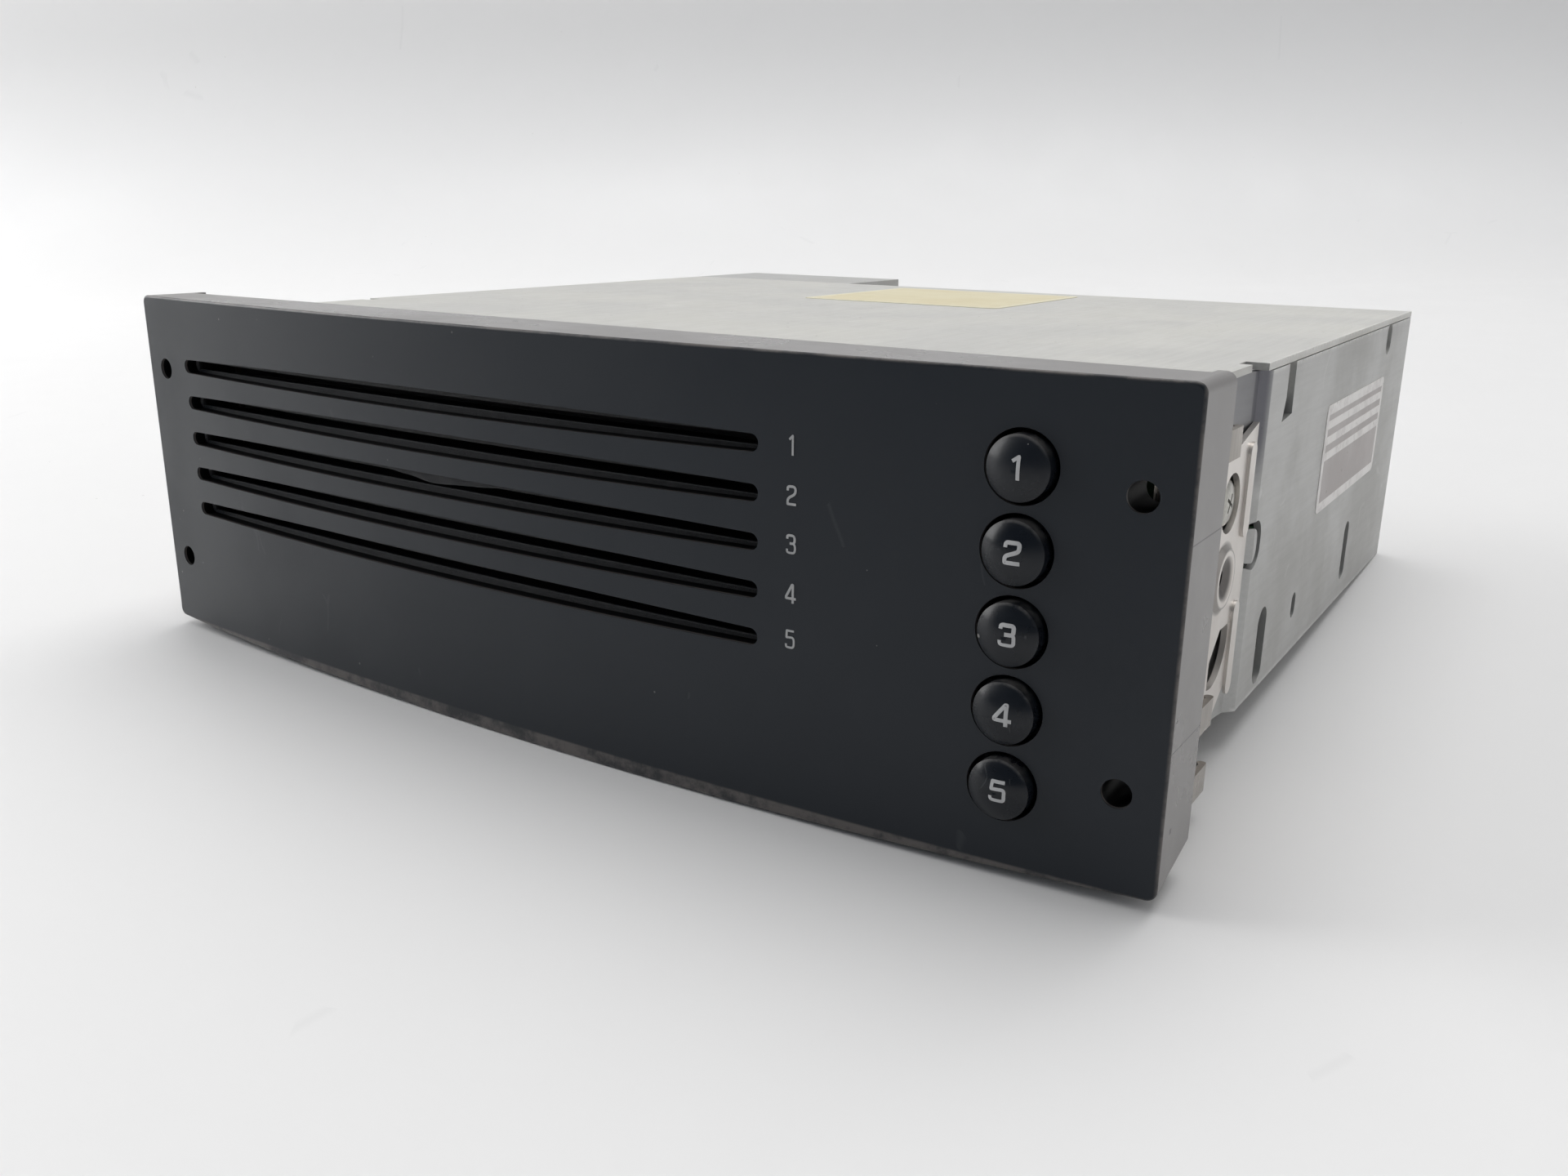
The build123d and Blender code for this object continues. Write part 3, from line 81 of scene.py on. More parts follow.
class NodeSheet:
    """A node tree that is being filled, for a material, the surrounding air or a shared group."""

    def __init__(self, tree: bpy.types.NodeTree) -> None:
        """Keep the tree and clear it."""
        self.tree = tree
        self.tree.nodes.clear()

    def add(self, kind: str, **settings: object) -> bpy.types.Node:
        """Add a node and set its properties.

        Args:
            kind: The node's type, without its ShaderNode prefix.
            **settings: Properties of the node.

        Returns:
            The new node.
        """
        node = self.tree.nodes.new("ShaderNode" + kind)
        for name, value in settings.items():
            setattr(node, name, value)
        return node

    def put(self, target: Socket, value: object) -> None:
        """Link a socket or set its plain value.

        Args:
            target: The input to feed.
            value: Another node's output, a number or a colour.
        """
        if isinstance(value, bpy.types.NodeSocket):
            self.tree.links.new(value, target)
        else:
            target.default_value = value

    def math(self, operation: str, first: Number, *others: Number, clamp: bool = False) -> Socket:
        """Join values by Math nodes, one after another.

        Args:
            operation: Name of the operation.
            first: First value.
            *others: The values that are joined to it in turn.
            clamp: Keep the results between 0 and 1.

        Returns:
            The last node's output.
        """
        for other in others or (0.0,):
            node = self.add("Math", operation=operation, use_clamp=clamp)
            self.put(node.inputs[0], first)
            self.put(node.inputs[1], other)
            first = node.outputs[0]
        return first

    def times(self, *values: Number, clamp: bool = False) -> Socket:
        """Multiply values."""
        return self.math("MULTIPLY", *values, clamp=clamp)

    def plus(self, *values: Number, clamp: bool = False) -> Socket:
        """Add values."""
        return self.math("ADD", *values, clamp=clamp)

    def less(self, *values: Number, clamp: bool = False) -> Socket:
        """Take the later values from the first."""
        return self.math("SUBTRACT", *values, clamp=clamp)

    def most(self, *values: Number) -> Socket:
        """Take the greatest of the values."""
        return self.math("MAXIMUM", *values)

    def far(self, place: Socket, middle: float) -> Socket:
        """Distance of a place in metres from a middle in millimetres."""
        return self.math("ABSOLUTE", self.less(place, middle * MM))

    def ramp(self, value: Number, low: float, high: float, start: float = 0.0, end: float = 1.0) -> Socket:
        """Map a value smoothly from one range to another.

        Args:
            value: The value to map.
            low: Where the result starts to change.
            high: Where it has changed fully.
            start: Result at low.
            end: Result at high.

        Returns:
            The mapped value.
        """
        node = self.add("MapRange", interpolation_type="SMOOTHSTEP")
        for index, part in enumerate((value, low, high, start, end)):
            self.put(node.inputs[index], part)
        return node.outputs[0]

    def rise(self, value: Number, low: float, high: float, start: float = 0.0) -> Socket:
        """Rise to 1 between two lengths in millimetres."""
        return self.ramp(value, low * MM, high * MM, start, 1.0)

    def fall(self, value: Number, low: float, high: float) -> Socket:
        """Fall from 1 to 0 between two lengths in millimetres."""
        return self.ramp(value, low * MM, high * MM, 1.0, 0.0)

    def between(self, mask: Socket, start: float, end: float) -> Socket:
        """Go from one value to another as a mask goes from 0 to 1."""
        return self.ramp(mask, 0.0, 1.0, start, end)

    def blend(self, share: Number, base: object, top: object) -> Socket:
        """Mix two colours.

        Args:
            share: How much of the top colour shows.
            base: Colour or socket below.
            top: Colour or socket above.

        Returns:
            The mixed colour.
        """
        node = self.add("Mix", data_type="RGBA")
        self.put(node.inputs[0], share)
        for target, colour in ((node.inputs[6], base), (node.inputs[7], top)):
            self.put(target, colour if isinstance(colour, bpy.types.NodeSocket) else (*colour, 1.0))
        return node.outputs[2]

    def layers(self, colour: object, *layers: tuple[Number, float, object]) -> Socket:
        """Lay colours over a colour, one after another.

        Args:
            colour: Colour or socket below.
            *layers: Mask, strength and colour of each layer.

        Returns:
            The finished colour.
        """
        for mask, strength, top in layers:
            share = mask if strength == 1.0 else self.times(mask, strength)
            colour = self.blend(share, colour, top)
        return colour

    def scaled(self, vector: Socket, factors: object) -> Socket:
        """Multiply a vector by three factors or by another vector."""
        node = self.add("VectorMath", operation="MULTIPLY")
        self.put(node.inputs[0], vector)
        self.put(node.inputs[1], factors)
        return node.outputs[0]

    def noise(self, vector: Socket, scale: Number, detail: float = 3.0, rough: float = 0.55) -> Socket:
        """Add a noise texture and return its value."""
        node = self.add("TexNoise")
        for name, value in (("Vector", vector), ("Scale", scale), ("Detail", detail), ("Roughness", rough)):
            self.put(node.inputs[name], value)
        return node.outputs[0]

    def split(self, vector: Socket) -> tuple[Socket, Socket, Socket]:
        """Take a vector apart into its three numbers."""
        node = self.add("SeparateXYZ")
        self.put(node.inputs[0], vector)
        return node.outputs[0], node.outputs[1], node.outputs[2]

    def bump(self, height: Socket, depth: float, strength: float = 1.0) -> Socket:
        """Turn a height from 0 to 1 into a normal.

        Args:
            height: The height.
            depth: Depth of the relief in millimetres.
            strength: How strongly the relief shows.

        Returns:
            The bent normal.
        """
        node = self.add("Bump")
        node.inputs["Strength"].default_value = strength
        node.inputs["Distance"].default_value = depth * MM
        self.put(node.inputs["Height"], height)
        return node.outputs[0]


class SharedEffects:
    """The node groups that several finishes use, each built once."""

    def __init__(self) -> None:
        """Build every group."""
        self.speckle = self.group("speckle", ("Scale", "Share", "Size"), self.fill_speckle)
        self.scratch = self.group("scratch", ("Scale", "Share"), self.fill_scratch)
        self.grain = self.group("grain", ("Scale",), self.fill_grain)
        self.smudge = self.group("smudge", ("Scale",), self.fill_smudge)
        box = ("Width", "X", "Y", "Z", "Half X", "Half Y", "Half Z")
        self.edges = self.group("box_edges", box, self.fill_edges)

    @staticmethod
    def group(name: str, numbers: Sequence[str],
              fill: Callable[[NodeSheet, dict[str, Socket]], Socket]) -> bpy.types.NodeTree:
        """Make a group with a vector, some numbers and one mask.

        Args:
            name: Name of the group.
            numbers: Names of its number inputs.
            fill: Fills the group and returns the socket that it gives out.

        Returns:
            The finished group.
        """
        tree = bpy.data.node_groups.new(name, "ShaderNodeTree")
        sheet = NodeSheet(tree)
        tree.interface.new_socket(name="Vector", in_out="INPUT", socket_type="NodeSocketVector")
        for number in numbers:
            tree.interface.new_socket(name=number, in_out="INPUT", socket_type="NodeSocketFloat")
        tree.interface.new_socket(name="Mask", in_out="OUTPUT", socket_type="NodeSocketFloat")
        entry = tree.nodes.new("NodeGroupInput")
        leave = tree.nodes.new("NodeGroupOutput")
        sheet.put(leave.inputs[0], fill(sheet, {socket.name: socket for socket in entry.outputs}))
        return tree

    @staticmethod
    def fill_speckle(sheet: NodeSheet, inputs: dict[str, Socket]) -> Socket:
        """Small separate specks, such as dust."""
        cells = sheet.add("TexVoronoi")
        for name in ("Vector", "Scale"):
            sheet.put(cells.inputs[name], inputs[name])
        chance, size, _ = sheet.split(cells.outputs["Color"])
        kept = sheet.math("LESS_THAN", chance, inputs["Share"])
        radius = sheet.times(inputs["Size"], sheet.between(size, 0.4, 1.0))
        return sheet.times(kept, sheet.math("LESS_THAN", cells.outputs["Distance"], radius))

    @staticmethod
    def fill_scratch(sheet: NodeSheet, inputs: dict[str, Socket]) -> Socket:
        """Thin broken lines, such as scratches from handling."""
        bent = sheet.add("TexNoise")
        sheet.put(bent.inputs["Vector"], inputs["Vector"])
        sheet.put(bent.inputs["Scale"], sheet.times(inputs["Scale"], 0.6))
        moved = sheet.add("VectorMath", operation="MULTIPLY_ADD")
        for target, value in zip(moved.inputs, (bent.outputs["Color"], (0.02, 0.02, 0.02), inputs["Vector"])):
            sheet.put(target, value)
        lines = sheet.add("TexVoronoi", feature="DISTANCE_TO_EDGE")
        sheet.put(lines.inputs["Vector"], sheet.scaled(moved.outputs[0], (1.0, 0.7, 0.16)))
        sheet.put(lines.inputs["Scale"], inputs["Scale"])
        thin = sheet.ramp(lines.outputs["Distance"], 0.0, 0.012, 1.0, 0.0)
        broken = sheet.noise(inputs["Vector"], sheet.times(inputs["Scale"], 1.7), 2.0)
        shown = sheet.math("LESS_THAN", broken, sheet.plus(0.25, sheet.times(inputs["Share"], 0.5)))
        return sheet.times(thin, shown)

    @staticmethod
    def fill_grain(sheet: NodeSheet, inputs: dict[str, Socket]) -> Socket:
        """Fine even grain of a mould or a cast skin."""
        fine = sheet.noise(inputs["Vector"], inputs["Scale"], 4.0, 0.7)
        coarse = sheet.noise(inputs["Vector"], sheet.times(inputs["Scale"], 0.2), 2.0)
        return sheet.plus(sheet.times(fine, 0.7), sheet.times(coarse, 0.3))

    @staticmethod
    def fill_smudge(sheet: NodeSheet, inputs: dict[str, Socket]) -> Socket:
        """Broad soft patches left by fingers and age."""
        return sheet.ramp(sheet.noise(inputs["Vector"], inputs["Scale"], 5.0, 0.62), 0.32, 0.7)

    @staticmethod
    def fill_edges(sheet: NodeSheet, inputs: dict[str, Socket]) -> Socket:
        """The edges of a box-shaped piece, from its middle and its half sizes."""
        reach = []
        for axis, value in zip("XYZ", sheet.split(inputs["Vector"])):
            away = sheet.math("ABSOLUTE", sheet.less(value, inputs[axis]))
            reach.append(sheet.less(away, inputs["Half " + axis]))
        most = sheet.most(*reach)
        second = sheet.less(sheet.plus(*reach), sheet.plus(most, sheet.math("MINIMUM", *reach)))
        share = sheet.math("DIVIDE", sheet.plus(second, inputs["Width"]), inputs["Width"])
        rough = sheet.ramp(sheet.noise(inputs["Vector"], 900.0, 4.0, 0.7), 0.35, 0.62)
        return sheet.times(sheet.ramp(share, 0.0, 1.0), sheet.fall(most, 0.2, 0.6), rough, clamp=True)


EFFECTS = SharedEffects()


class Skin(NodeSheet):
    """One material while it is built: its nodes, its shader and its coordinates."""

    def __init__(self, name: str) -> None:
        """Start an empty material.

        Args:
            name: Name of the finish.
        """
        self.material = bpy.data.materials.new(name)
        self.material.use_nodes = True
        super().__init__(self.material.node_tree)
        self.shader = self.add("BsdfPrincipled")
        self.put(self.add("OutputMaterial").inputs[0], self.shader.outputs[0])
        self.where = self.add("TexCoord").outputs["Object"]

    def effect(self, tree: bpy.types.NodeTree, **numbers: Number) -> Socket:
        """Place a shared effect and return its mask.

        Args:
            tree: The node group.
            **numbers: Its inputs; an underscore stands for a space.

        Returns:
            The effect's mask.
        """
        node = self.add("Group", node_tree=tree)
        self.put(node.inputs["Vector"], self.where)
        for name, value in numbers.items():
            self.put(node.inputs[name.replace("_", " ")], value)
        return node.outputs[0]

    def specks(self, scale: float, share: float, size: float) -> Socket:
        """Mask of separate specks."""
        return self.effect(EFFECTS.speckle, Scale=scale, Share=share, Size=size)

    def scratches(self, scale: float, share: float) -> Socket:
        """Mask of thin broken lines."""
        return self.effect(EFFECTS.scratch, Scale=scale, Share=share)

    def smudges(self, scale: float) -> Socket:
        """Mask of broad soft patches."""
        return self.effect(EFFECTS.smudge, Scale=scale)

    def grain(self, scale: float, depth: float) -> Socket:
        """Normal of a fine grain, its depth in millimetres."""
        return self.bump(self.effect(EFFECTS.grain, Scale=scale), depth)

    def patchy(self, scale: float, detail: float, low: float, high: float, start: float = 0.0) -> Socket:
        """Rough-edged noise, cut off at a low and a high value."""
        return self.ramp(self.noise(self.where, scale, detail, 0.7), low, high, start)

    def around(self, first: Socket, second: Socket, middle: tuple[float, float]) -> Socket:
        """Distance of two coordinates from a middle in millimetres."""
        gaps = [self.less(place, at * MM) for place, at in zip((first, second), middle)]
        return self.math("SQRT", self.plus(*(self.times(gap, gap) for gap in gaps)))

    def edge_mask(self, node_name: str, width: float) -> Socket:
        """Mask of the edges of a CAD node's box.

        Args:
            node_name: The node whose box is taken.
            width: Width of the worn edge in millimetres.

        Returns:
            The mask.
        """
        low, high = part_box(node_name)
        middle = [(a + b) / 2 for a, b in zip(low, high)]
        half = [(b - a) / 2 for a, b in zip(low, high)]
        numbers = dict(zip(("X", "Y", "Z", "Half_X", "Half_Y", "Half_Z"), middle + half))
        return self.effect(EFFECTS.edges, Width=width * MM, **numbers)

    def finish(self, colour: object, roughness: Number, **sockets: object) -> bpy.types.Material:
        """Feed the shader and hand the material over.

        Args:
            colour: The surface's colour.
            roughness: Its roughness.
            **sockets: Further inputs of the shader; an underscore stands for a space.

        Returns:
            The finished material.
        """
        self.put(self.shader.inputs["Base Color"], colour)
        self.put(self.shader.inputs["Roughness"], roughness)
        for name, value in sockets.items():
            self.put(self.shader.inputs[name.replace("_", " ")], value)
        return self.material


@dataclass(frozen=True)
class MouldedPlastic:
    """Injection-moulded plastic with its grain, handling marks and dust."""

    name: str
    colour: Colour
    roughness: float = 0.45
    grain_scale: float = 5200.0
    grain_depth: float = 0.012
    dust_colour: Colour = (0.5, 0.49, 0.47)

    def build(self) -> bpy.types.Material:
        """Make the material."""
        skin = Skin(self.name)
        patches = skin.smudges(48.0)
        specks = skin.specks(420.0, 0.05, 0.11)
        lines = skin.scratches(90.0, 0.25)
        light = tuple(min(1.0, part * 1.35 + 0.004) for part in self.colour)
        colour = skin.layers(self.colour, (patches, 0.45, light), (lines, 0.22, self.dust_colour),
                             (specks, 0.7, self.dust_colour))
        rough = skin.between(patches, self.roughness - 0.06, self.roughness + 0.07)
        rough = skin.plus(rough, skin.times(lines, 0.12), clamp=True)
        return skin.finish(colour, rough, Normal=skin.grain(self.grain_scale, self.grain_depth))


@dataclass(frozen=True)
class FrontPlastic:
    """The panel's moulding: dark satin coat on the face, a lighter grey body on the ends and top that is
    partly plain moulding and partly painted reflection, a rim with wear and a painted highlight along the
    slot edges, painted shade on the slot walls, dust and knocks.
    """

    name: str = "front_plastic"
    coat: Colour = (0.0075, 0.0112, 0.017)
    # Lighter grey of the ends and top: partly plain moulding, partly painted reflection of the bright room at
    # a grazing angle.
    bare: Colour = (0.18, 0.171, 0.167)
    # Painted shade on the slot walls.
    inner: Colour = (0.005, 0.0052, 0.0058)
    # Rim wear colour, also used for the painted highlight along the slot edges.
    rim_colour: Colour = (0.15, 0.135, 0.125)
    seams: tuple[float, ...] = (12.38, -11.33)
    knocks: tuple[tuple[float, float, float], ...] = ((2.98, -21.69, 0.42), (1.3, -7.7, 0.25))
    roughness: float = 0.4

    def end_marks(self, skin: Skin, y: Socket, z: Socket) -> Socket:
        """Find the seams and the knocks on the panel's ends.

        Args:
            skin: The material that is being built.
            y: Depth of the place that is shaded.
            z: Its height.

        Returns:
            Mask of the marks.
        """
        marks = [skin.fall(skin.far(z, height), 0.04, 0.13) for height in self.seams]
        for depth, height, size in self.knocks:
            away = skin.most(skin.far(y, depth), skin.far(z, height))
            marks.append(skin.fall(away, size - 0.15, size))
        return skin.most(*marks)

    def zones(self, skin: Skin) -> tuple[Socket, Socket, Socket, Socket]:
        """Find the rim with its wear and the painted highlight on the slot edges, the lighter body behind the
        face with its painted reflection, the slots' walls with their painted shade and the marks on the ends.

        Args:
            skin: The material that is being built.

        Returns:
            Masks of the rim with the painted highlight on the slot edges, the body, the slots' walls, and the
            seams and knocks on the ends.
        """
        x, y, z = skin.split(skin.where)
        out_x = skin.less(skin.math("ABSOLUTE", x), HALF_WIDTH * MM)
        out = skin.most(out_x, skin.less(skin.math("ABSOLUTE", z), HALF_HEIGHT * MM))
        bow = skin.times(x, x, 1 / (2 * BOW_RADIUS * MM))
        behind = skin.less(skin.plus(y, BULGE * MM), bow)
        behind_face = skin.rise(behind, 0.3, 0.5)
        outer = skin.rise(out, -2.4, -1.9)
        # The ends and top take the lighter grey: partly plain moulding, partly painted reflection.
        body = skin.times(behind_face, outer)
        # Painted highlight: a thin light line along the slot edges, just behind the face.
        lip_highlight = skin.times(skin.rise(behind, 0.1, 0.2), skin.fall(behind, 0.4, 0.55), skin.less(1.0, outer),
                         0.85)
        worn_and_highlight = skin.patchy(160.0, 5.0, 0.36, 0.6, 0.2)
        rim = skin.times(skin.rise(out, -0.45, -0.05), worn_and_highlight, skin.fall(behind, 0.4, 0.7))
        seam = skin.times(self.end_marks(skin, y, z), skin.rise(out_x, -0.3, -0.1), body)
        # The slot walls, behind the face but off the body, take the painted shade.
        return skin.most(rim, lip_highlight), body, skin.less(behind_face, body), seam

    def build(self) -> bpy.types.Material:
        """Make the material."""
        skin = Skin(self.name)
        rim, body, hollow, seam = self.zones(skin)
        patches = skin.smudges(21.0)
        dust = skin.most(skin.times(skin.specks(620.0, 0.035, 0.12), 0.22),
                         skin.times(skin.specks(150.0, 0.05, 0.05), 0.6))
        # Painted light in these layers: the body colour is partly painted reflection, the rim colour also
        # paints a highlight on the slot edges, and the slot walls take painted shade.
        colour = skin.layers(self.coat, (patches, 0.5, (0.0105, 0.0135, 0.018)), (body, 1.0, self.bare),
                             (hollow, 1.0, self.inner), (skin.scratches(60.0, 0.16), 0.07, (0.2, 0.2, 0.2)),
                             (rim, 0.75, self.rim_colour), (seam, 0.85, (0.012, 0.011, 0.011)),
                             (dust, 1.0, (0.4, 0.385, 0.36)))
        rough = skin.between(patches, self.roughness - 0.05, self.roughness + 0.06)
        rough = skin.less(rough, skin.times(body, 0.1))
        gloss = skin.less(skin.between(body, 0.36, 0.85), skin.times(hollow, 0.3))
        return skin.finish(colour, rough, Specular_IOR_Level=gloss, Normal=skin.grain(5200.0, 0.012))


@dataclass(frozen=True)
class CapPlastic:
    """Glossy black plastic of the five caps, with a painted highlight round the upper rim."""

    name: str = "cap_plastic"
    colour: Colour = (0.0045, 0.0062, 0.0095)
    # Colour of the painted highlight on the upper rim.
    rubbed: Colour = (0.075, 0.073, 0.072)
    rim: tuple[float, float] = (3.4, 3.7)

    def build(self) -> bpy.types.Material:
        """Make the material."""
        skin = Skin(self.name)
        x, _, z = skin.split(skin.where)
        row_foot = CAP_TOP - (CAP_COUNT - 0.5) * CAP_PITCH
        above = skin.math("MODULO", skin.less(z, row_foot * MM), CAP_PITCH * MM)
        above = skin.less(above, CAP_PITCH / 2 * MM)
        away = skin.around(x, above, (CAP_X, 0.0))
        # Painted highlight: a light arc on the upper part of each cap's rim, standing in for the reflection
        # of the overhead light.
        ring = skin.times(skin.rise(away, *self.rim), skin.rise(above, 1.2, 3.5, 0.04))
        worn_and_highlight = skin.times(ring, skin.patchy(520.0, 5.0, 0.34, 0.6))
        touch = skin.smudges(150.0)
        colour = skin.layers(self.colour, (touch, 0.4, (0.009, 0.0115, 0.016)), (worn_and_highlight, 1.0, self.rubbed),
                             (skin.scratches(130.0, 0.25), 0.12, (0.25, 0.25, 0.25)),
                             (skin.specks(420.0, 0.06, 0.1), 0.5, (0.4, 0.39, 0.37)))
        rough = skin.plus(skin.between(touch, 0.22, 0.36), skin.times(worn_and_highlight, 0.15))
        return skin.finish(colour, rough, Specular_IOR_Level=0.32, Coat_Weight=0.04,
                           Normal=skin.grain(4200.0, 0.004))


@dataclass(frozen=True)
class SheetMetal:
    """Plated or coated sheet with rolling lines, stains, scratches and edge wear, and an optional zone of
    painted shade.
    """

    name: str
    colour: Colour
    stain: Colour = (0.3, 0.28, 0.25)
    roughness: float = 0.4
    metallic: float = 0.9
    brush: Brush = Brush.ALONG_X
    streaks: float = 0.25
    staining: float = 0.3
    dust: float = 0.06
    edge_node: Optional[str] = None
    edge_width: float = 0.8
    # Depth, height and bend width of a zone of painted shade.
    tarnish: Optional[Place] = None

    def tarnished(self, skin: Skin, colour: Socket) -> Socket:
        """Paint shade on the sheet before a depth, above a height and in the bend at that depth.

        Args:
            skin: The material that is being built.
            colour: The sheet's colour so far.

        Returns:
            The darkened colour.
        """
        depth, height, bend = self.tarnish
        _, y, z = skin.split(skin.where)
        above = skin.rise(z, height - 9.0, height, 0.12)
        in_bend = skin.fall(skin.far(y, depth), 0.4 * bend, bend)
        share = skin.most(skin.times(skin.fall(y, depth - 1.0, depth), 0.6), skin.times(in_bend, 0.9))
        # Painted shade: a dark blue-grey laid over the wall before the recess edge and in its bend, above a
        # height.
        return skin.blend(skin.times(share, above), colour, (0.13, 0.13, 0.15))

    def build(self) -> bpy.types.Material:
        """Make the material."""
        skin = Skin(self.name)
        rolled = skin.noise(skin.scaled(skin.where, self.brush.value), 1500.0, 4.0, 0.65)
        patches = skin.smudges(34.0)
        marked = skin.most(patches, skin.patchy(260.0, 4.0, 0.6, 0.74))
        lines = skin.scratches(75.0, 0.3)
        darker = tuple(part * (1 - self.streaks) for part in self.colour)
        colour = skin.layers(darker, (skin.ramp(rolled, 0.3, 0.7), 1.0, self.colour),
                             (marked, self.staining, self.stain),
                             (skin.specks(520.0, self.dust, 0.13), 0.6, (0.13, 0.12, 0.11)))
        rough = skin.between(patches, self.roughness - 0.05, self.roughness + 0.12)
        rough = skin.less(rough, skin.times(lines, 0.15), clamp=True)
        if self.edge_node:
            edge = skin.edge_mask(self.edge_node, self.edge_width)
            colour = skin.layers(colour, (edge, 0.6, (0.75, 0.74, 0.72)))
        if self.tarnish:
            colour = self.tarnished(skin, colour)
        relief = skin.plus(rolled, skin.times(lines, -0.6))
        return skin.finish(colour, rough, Metallic=self.metallic, Normal=skin.bump(relief, 0.008, 0.7))


@dataclass(frozen=True)
class NickelPlate:
    """Bright plated side plate: fine rubbing lines, fingerprints and painted shade in its dished boss."""

    name: str = "nickel_plate"
    colour: Colour = (0.7, 0.665, 0.63)
    boss: tuple[float, float] = (35.4, -0.247)
    dish: float = 3.3
    flank: tuple[float, float] = (3.9, 4.7)

    def build(self) -> bpy.types.Material:
        """Make the material."""
        skin = Skin(self.name)
        _, y, z = skin.split(skin.where)
        away = skin.around(y, z, self.boss)
        flank = skin.times(skin.rise(away, self.flank[0] - 0.2, self.flank[0]),
                           skin.fall(away, self.flank[1], self.flank[1] + 0.5))
        # Painted shade: the dish and the flank of the boss are darkened.
        dish_shade = skin.most(skin.fall(away, self.dish - 0.8, self.dish), skin.times(flank, 0.6))
        rubbed = skin.noise(skin.scaled(skin.where, Brush.ALONG_Z.value), 1800.0, 4.0, 0.65)
        prints = skin.smudges(120.0)
        colour = skin.layers(self.colour, (prints, 0.12, (0.4, 0.36, 0.33)),
                             (dish_shade, 0.85, (0.055, 0.05, 0.05)))
        relief = skin.plus(rubbed, skin.times(skin.scratches(130.0, 0.3), -0.5))
        return skin.finish(colour, skin.between(prints, 0.33, 0.42), Metallic=0.85,
                           Normal=skin.bump(relief, 0.005, 0.6))


@dataclass(frozen=True)
class SoftRubber:
    """Rubber with a dull skin, a bloom and lint."""

    name: str
    colour: Colour
    roughness: float = 0.72

    def build(self) -> bpy.types.Material:
        """Make the material."""
        skin = Skin(self.name)
        bloom = skin.smudges(90.0)
        lint = skin.specks(600.0, 0.07, 0.14)
        colour = skin.layers(self.colour, (bloom, 0.3, (0.09, 0.088, 0.085)), (lint, 0.5, (0.3, 0.29, 0.27)))
        rough = skin.between(bloom, self.roughness - 0.08, self.roughness + 0.1)
        return skin.finish(colour, rough, Normal=skin.grain(3600.0, 0.02))


@dataclass(frozen=True)
class Felt:
    """Pressed felt: short fibres, fluff and house dust."""

    name: str
    colour: Colour
    fluff: Colour

    def build(self) -> bpy.types.Material:
        """Make the material."""
        skin = Skin(self.name)
        fibres = skin.noise(skin.scaled(skin.where, (1.0, 1.0, 3.2)), 3800.0, 5.0, 0.75)
        clumps = skin.noise(skin.where, 420.0, 4.0, 0.7)
        colour = skin.layers(self.colour, (skin.ramp(fibres, 0.42, 0.68), 1.0, self.fluff),
                             (skin.ramp(clumps, 0.56, 0.75, 0.0, 0.6), 1.0, self.fluff))
        rough = skin.ramp(clumps, 0.3, 0.7, 0.86, 1.0)
        return skin.finish(colour, rough, Sheen_Weight=0.4, Normal=skin.bump(fibres, 0.12))


@dataclass(frozen=True)
class BoardLacquer:
    """Circuit board under solder lacquer, with its tracks and pads."""

    name: str = "board_lacquer"
    colour: Colour = (0.012, 0.062, 0.026)
    track: Colour = (0.024, 0.125, 0.045)

    def build(self) -> bpy.types.Material:
        """Make the material."""
        skin = Skin(self.name)
        runs = skin.add("TexVoronoi", feature="F1", distance="CHEBYCHEV")
        skin.put(runs.inputs["Vector"], skin.where)
        runs.inputs["Scale"].default_value = 260.0
        tracks = skin.ramp(runs.outputs["Distance"], 0.3, 0.36)
        pads = skin.specks(330.0, 0.22, 0.22)
        flux = skin.smudges(70.0)
        colour = skin.layers(self.colour, (tracks, 1.0, self.track), (flux, 0.18, (0.12, 0.1, 0.04)),
                             (pads, 1.0, (0.5, 0.5, 0.48)))
        return skin.finish(colour, skin.between(flux, 0.24, 0.42), Metallic=skin.times(pads, 0.8),
                           Normal=skin.bump(tracks, 0.03))


@dataclass(frozen=True)
class CoatedGlass:
    """Pickup lens with a violet coating and a trace of dust."""

    name: str = "coated_glass"
    colour: Colour = (0.5, 0.52, 0.75)

    def build(self) -> bpy.types.Material:
        """Make the material."""
        skin = Skin(self.name)
        colour = skin.layers(self.colour, (skin.specks(2600.0, 0.1, 0.16), 0.5, (0.7, 0.7, 0.68)))
        rough = skin.between(skin.smudges(900.0), 0.03, 0.14)
        return skin.finish(colour, rough, Transmission_Weight=0.75, IOR=1.5)


@dataclass(frozen=True)
class PrintedInk:
    """Pale printing ink with spots of wear where the plastic shows through."""

    name: str
    colour: Colour
    wear: float

    def build(self) -> bpy.types.Material:
        """Make the material."""
        skin = Skin(self.name)
        thin = skin.noise(skin.where, 1900.0, 5.0, 0.7)
        patches = skin.ramp(skin.noise(skin.where, 420.0, 3.0), 0.3, 0.7, 0.0, 0.35)
        dull = tuple(part * 0.72 for part in self.colour)
        colour = skin.layers(self.colour, (patches, 1.0, dull),
                             (skin.ramp(thin, 0.56, 0.7), self.wear, (0.05, 0.05, 0.055)))
        return skin.finish(colour, skin.ramp(thin, 0.2, 0.8, 0.42, 0.68), Normal=skin.bump(thin, 0.01))


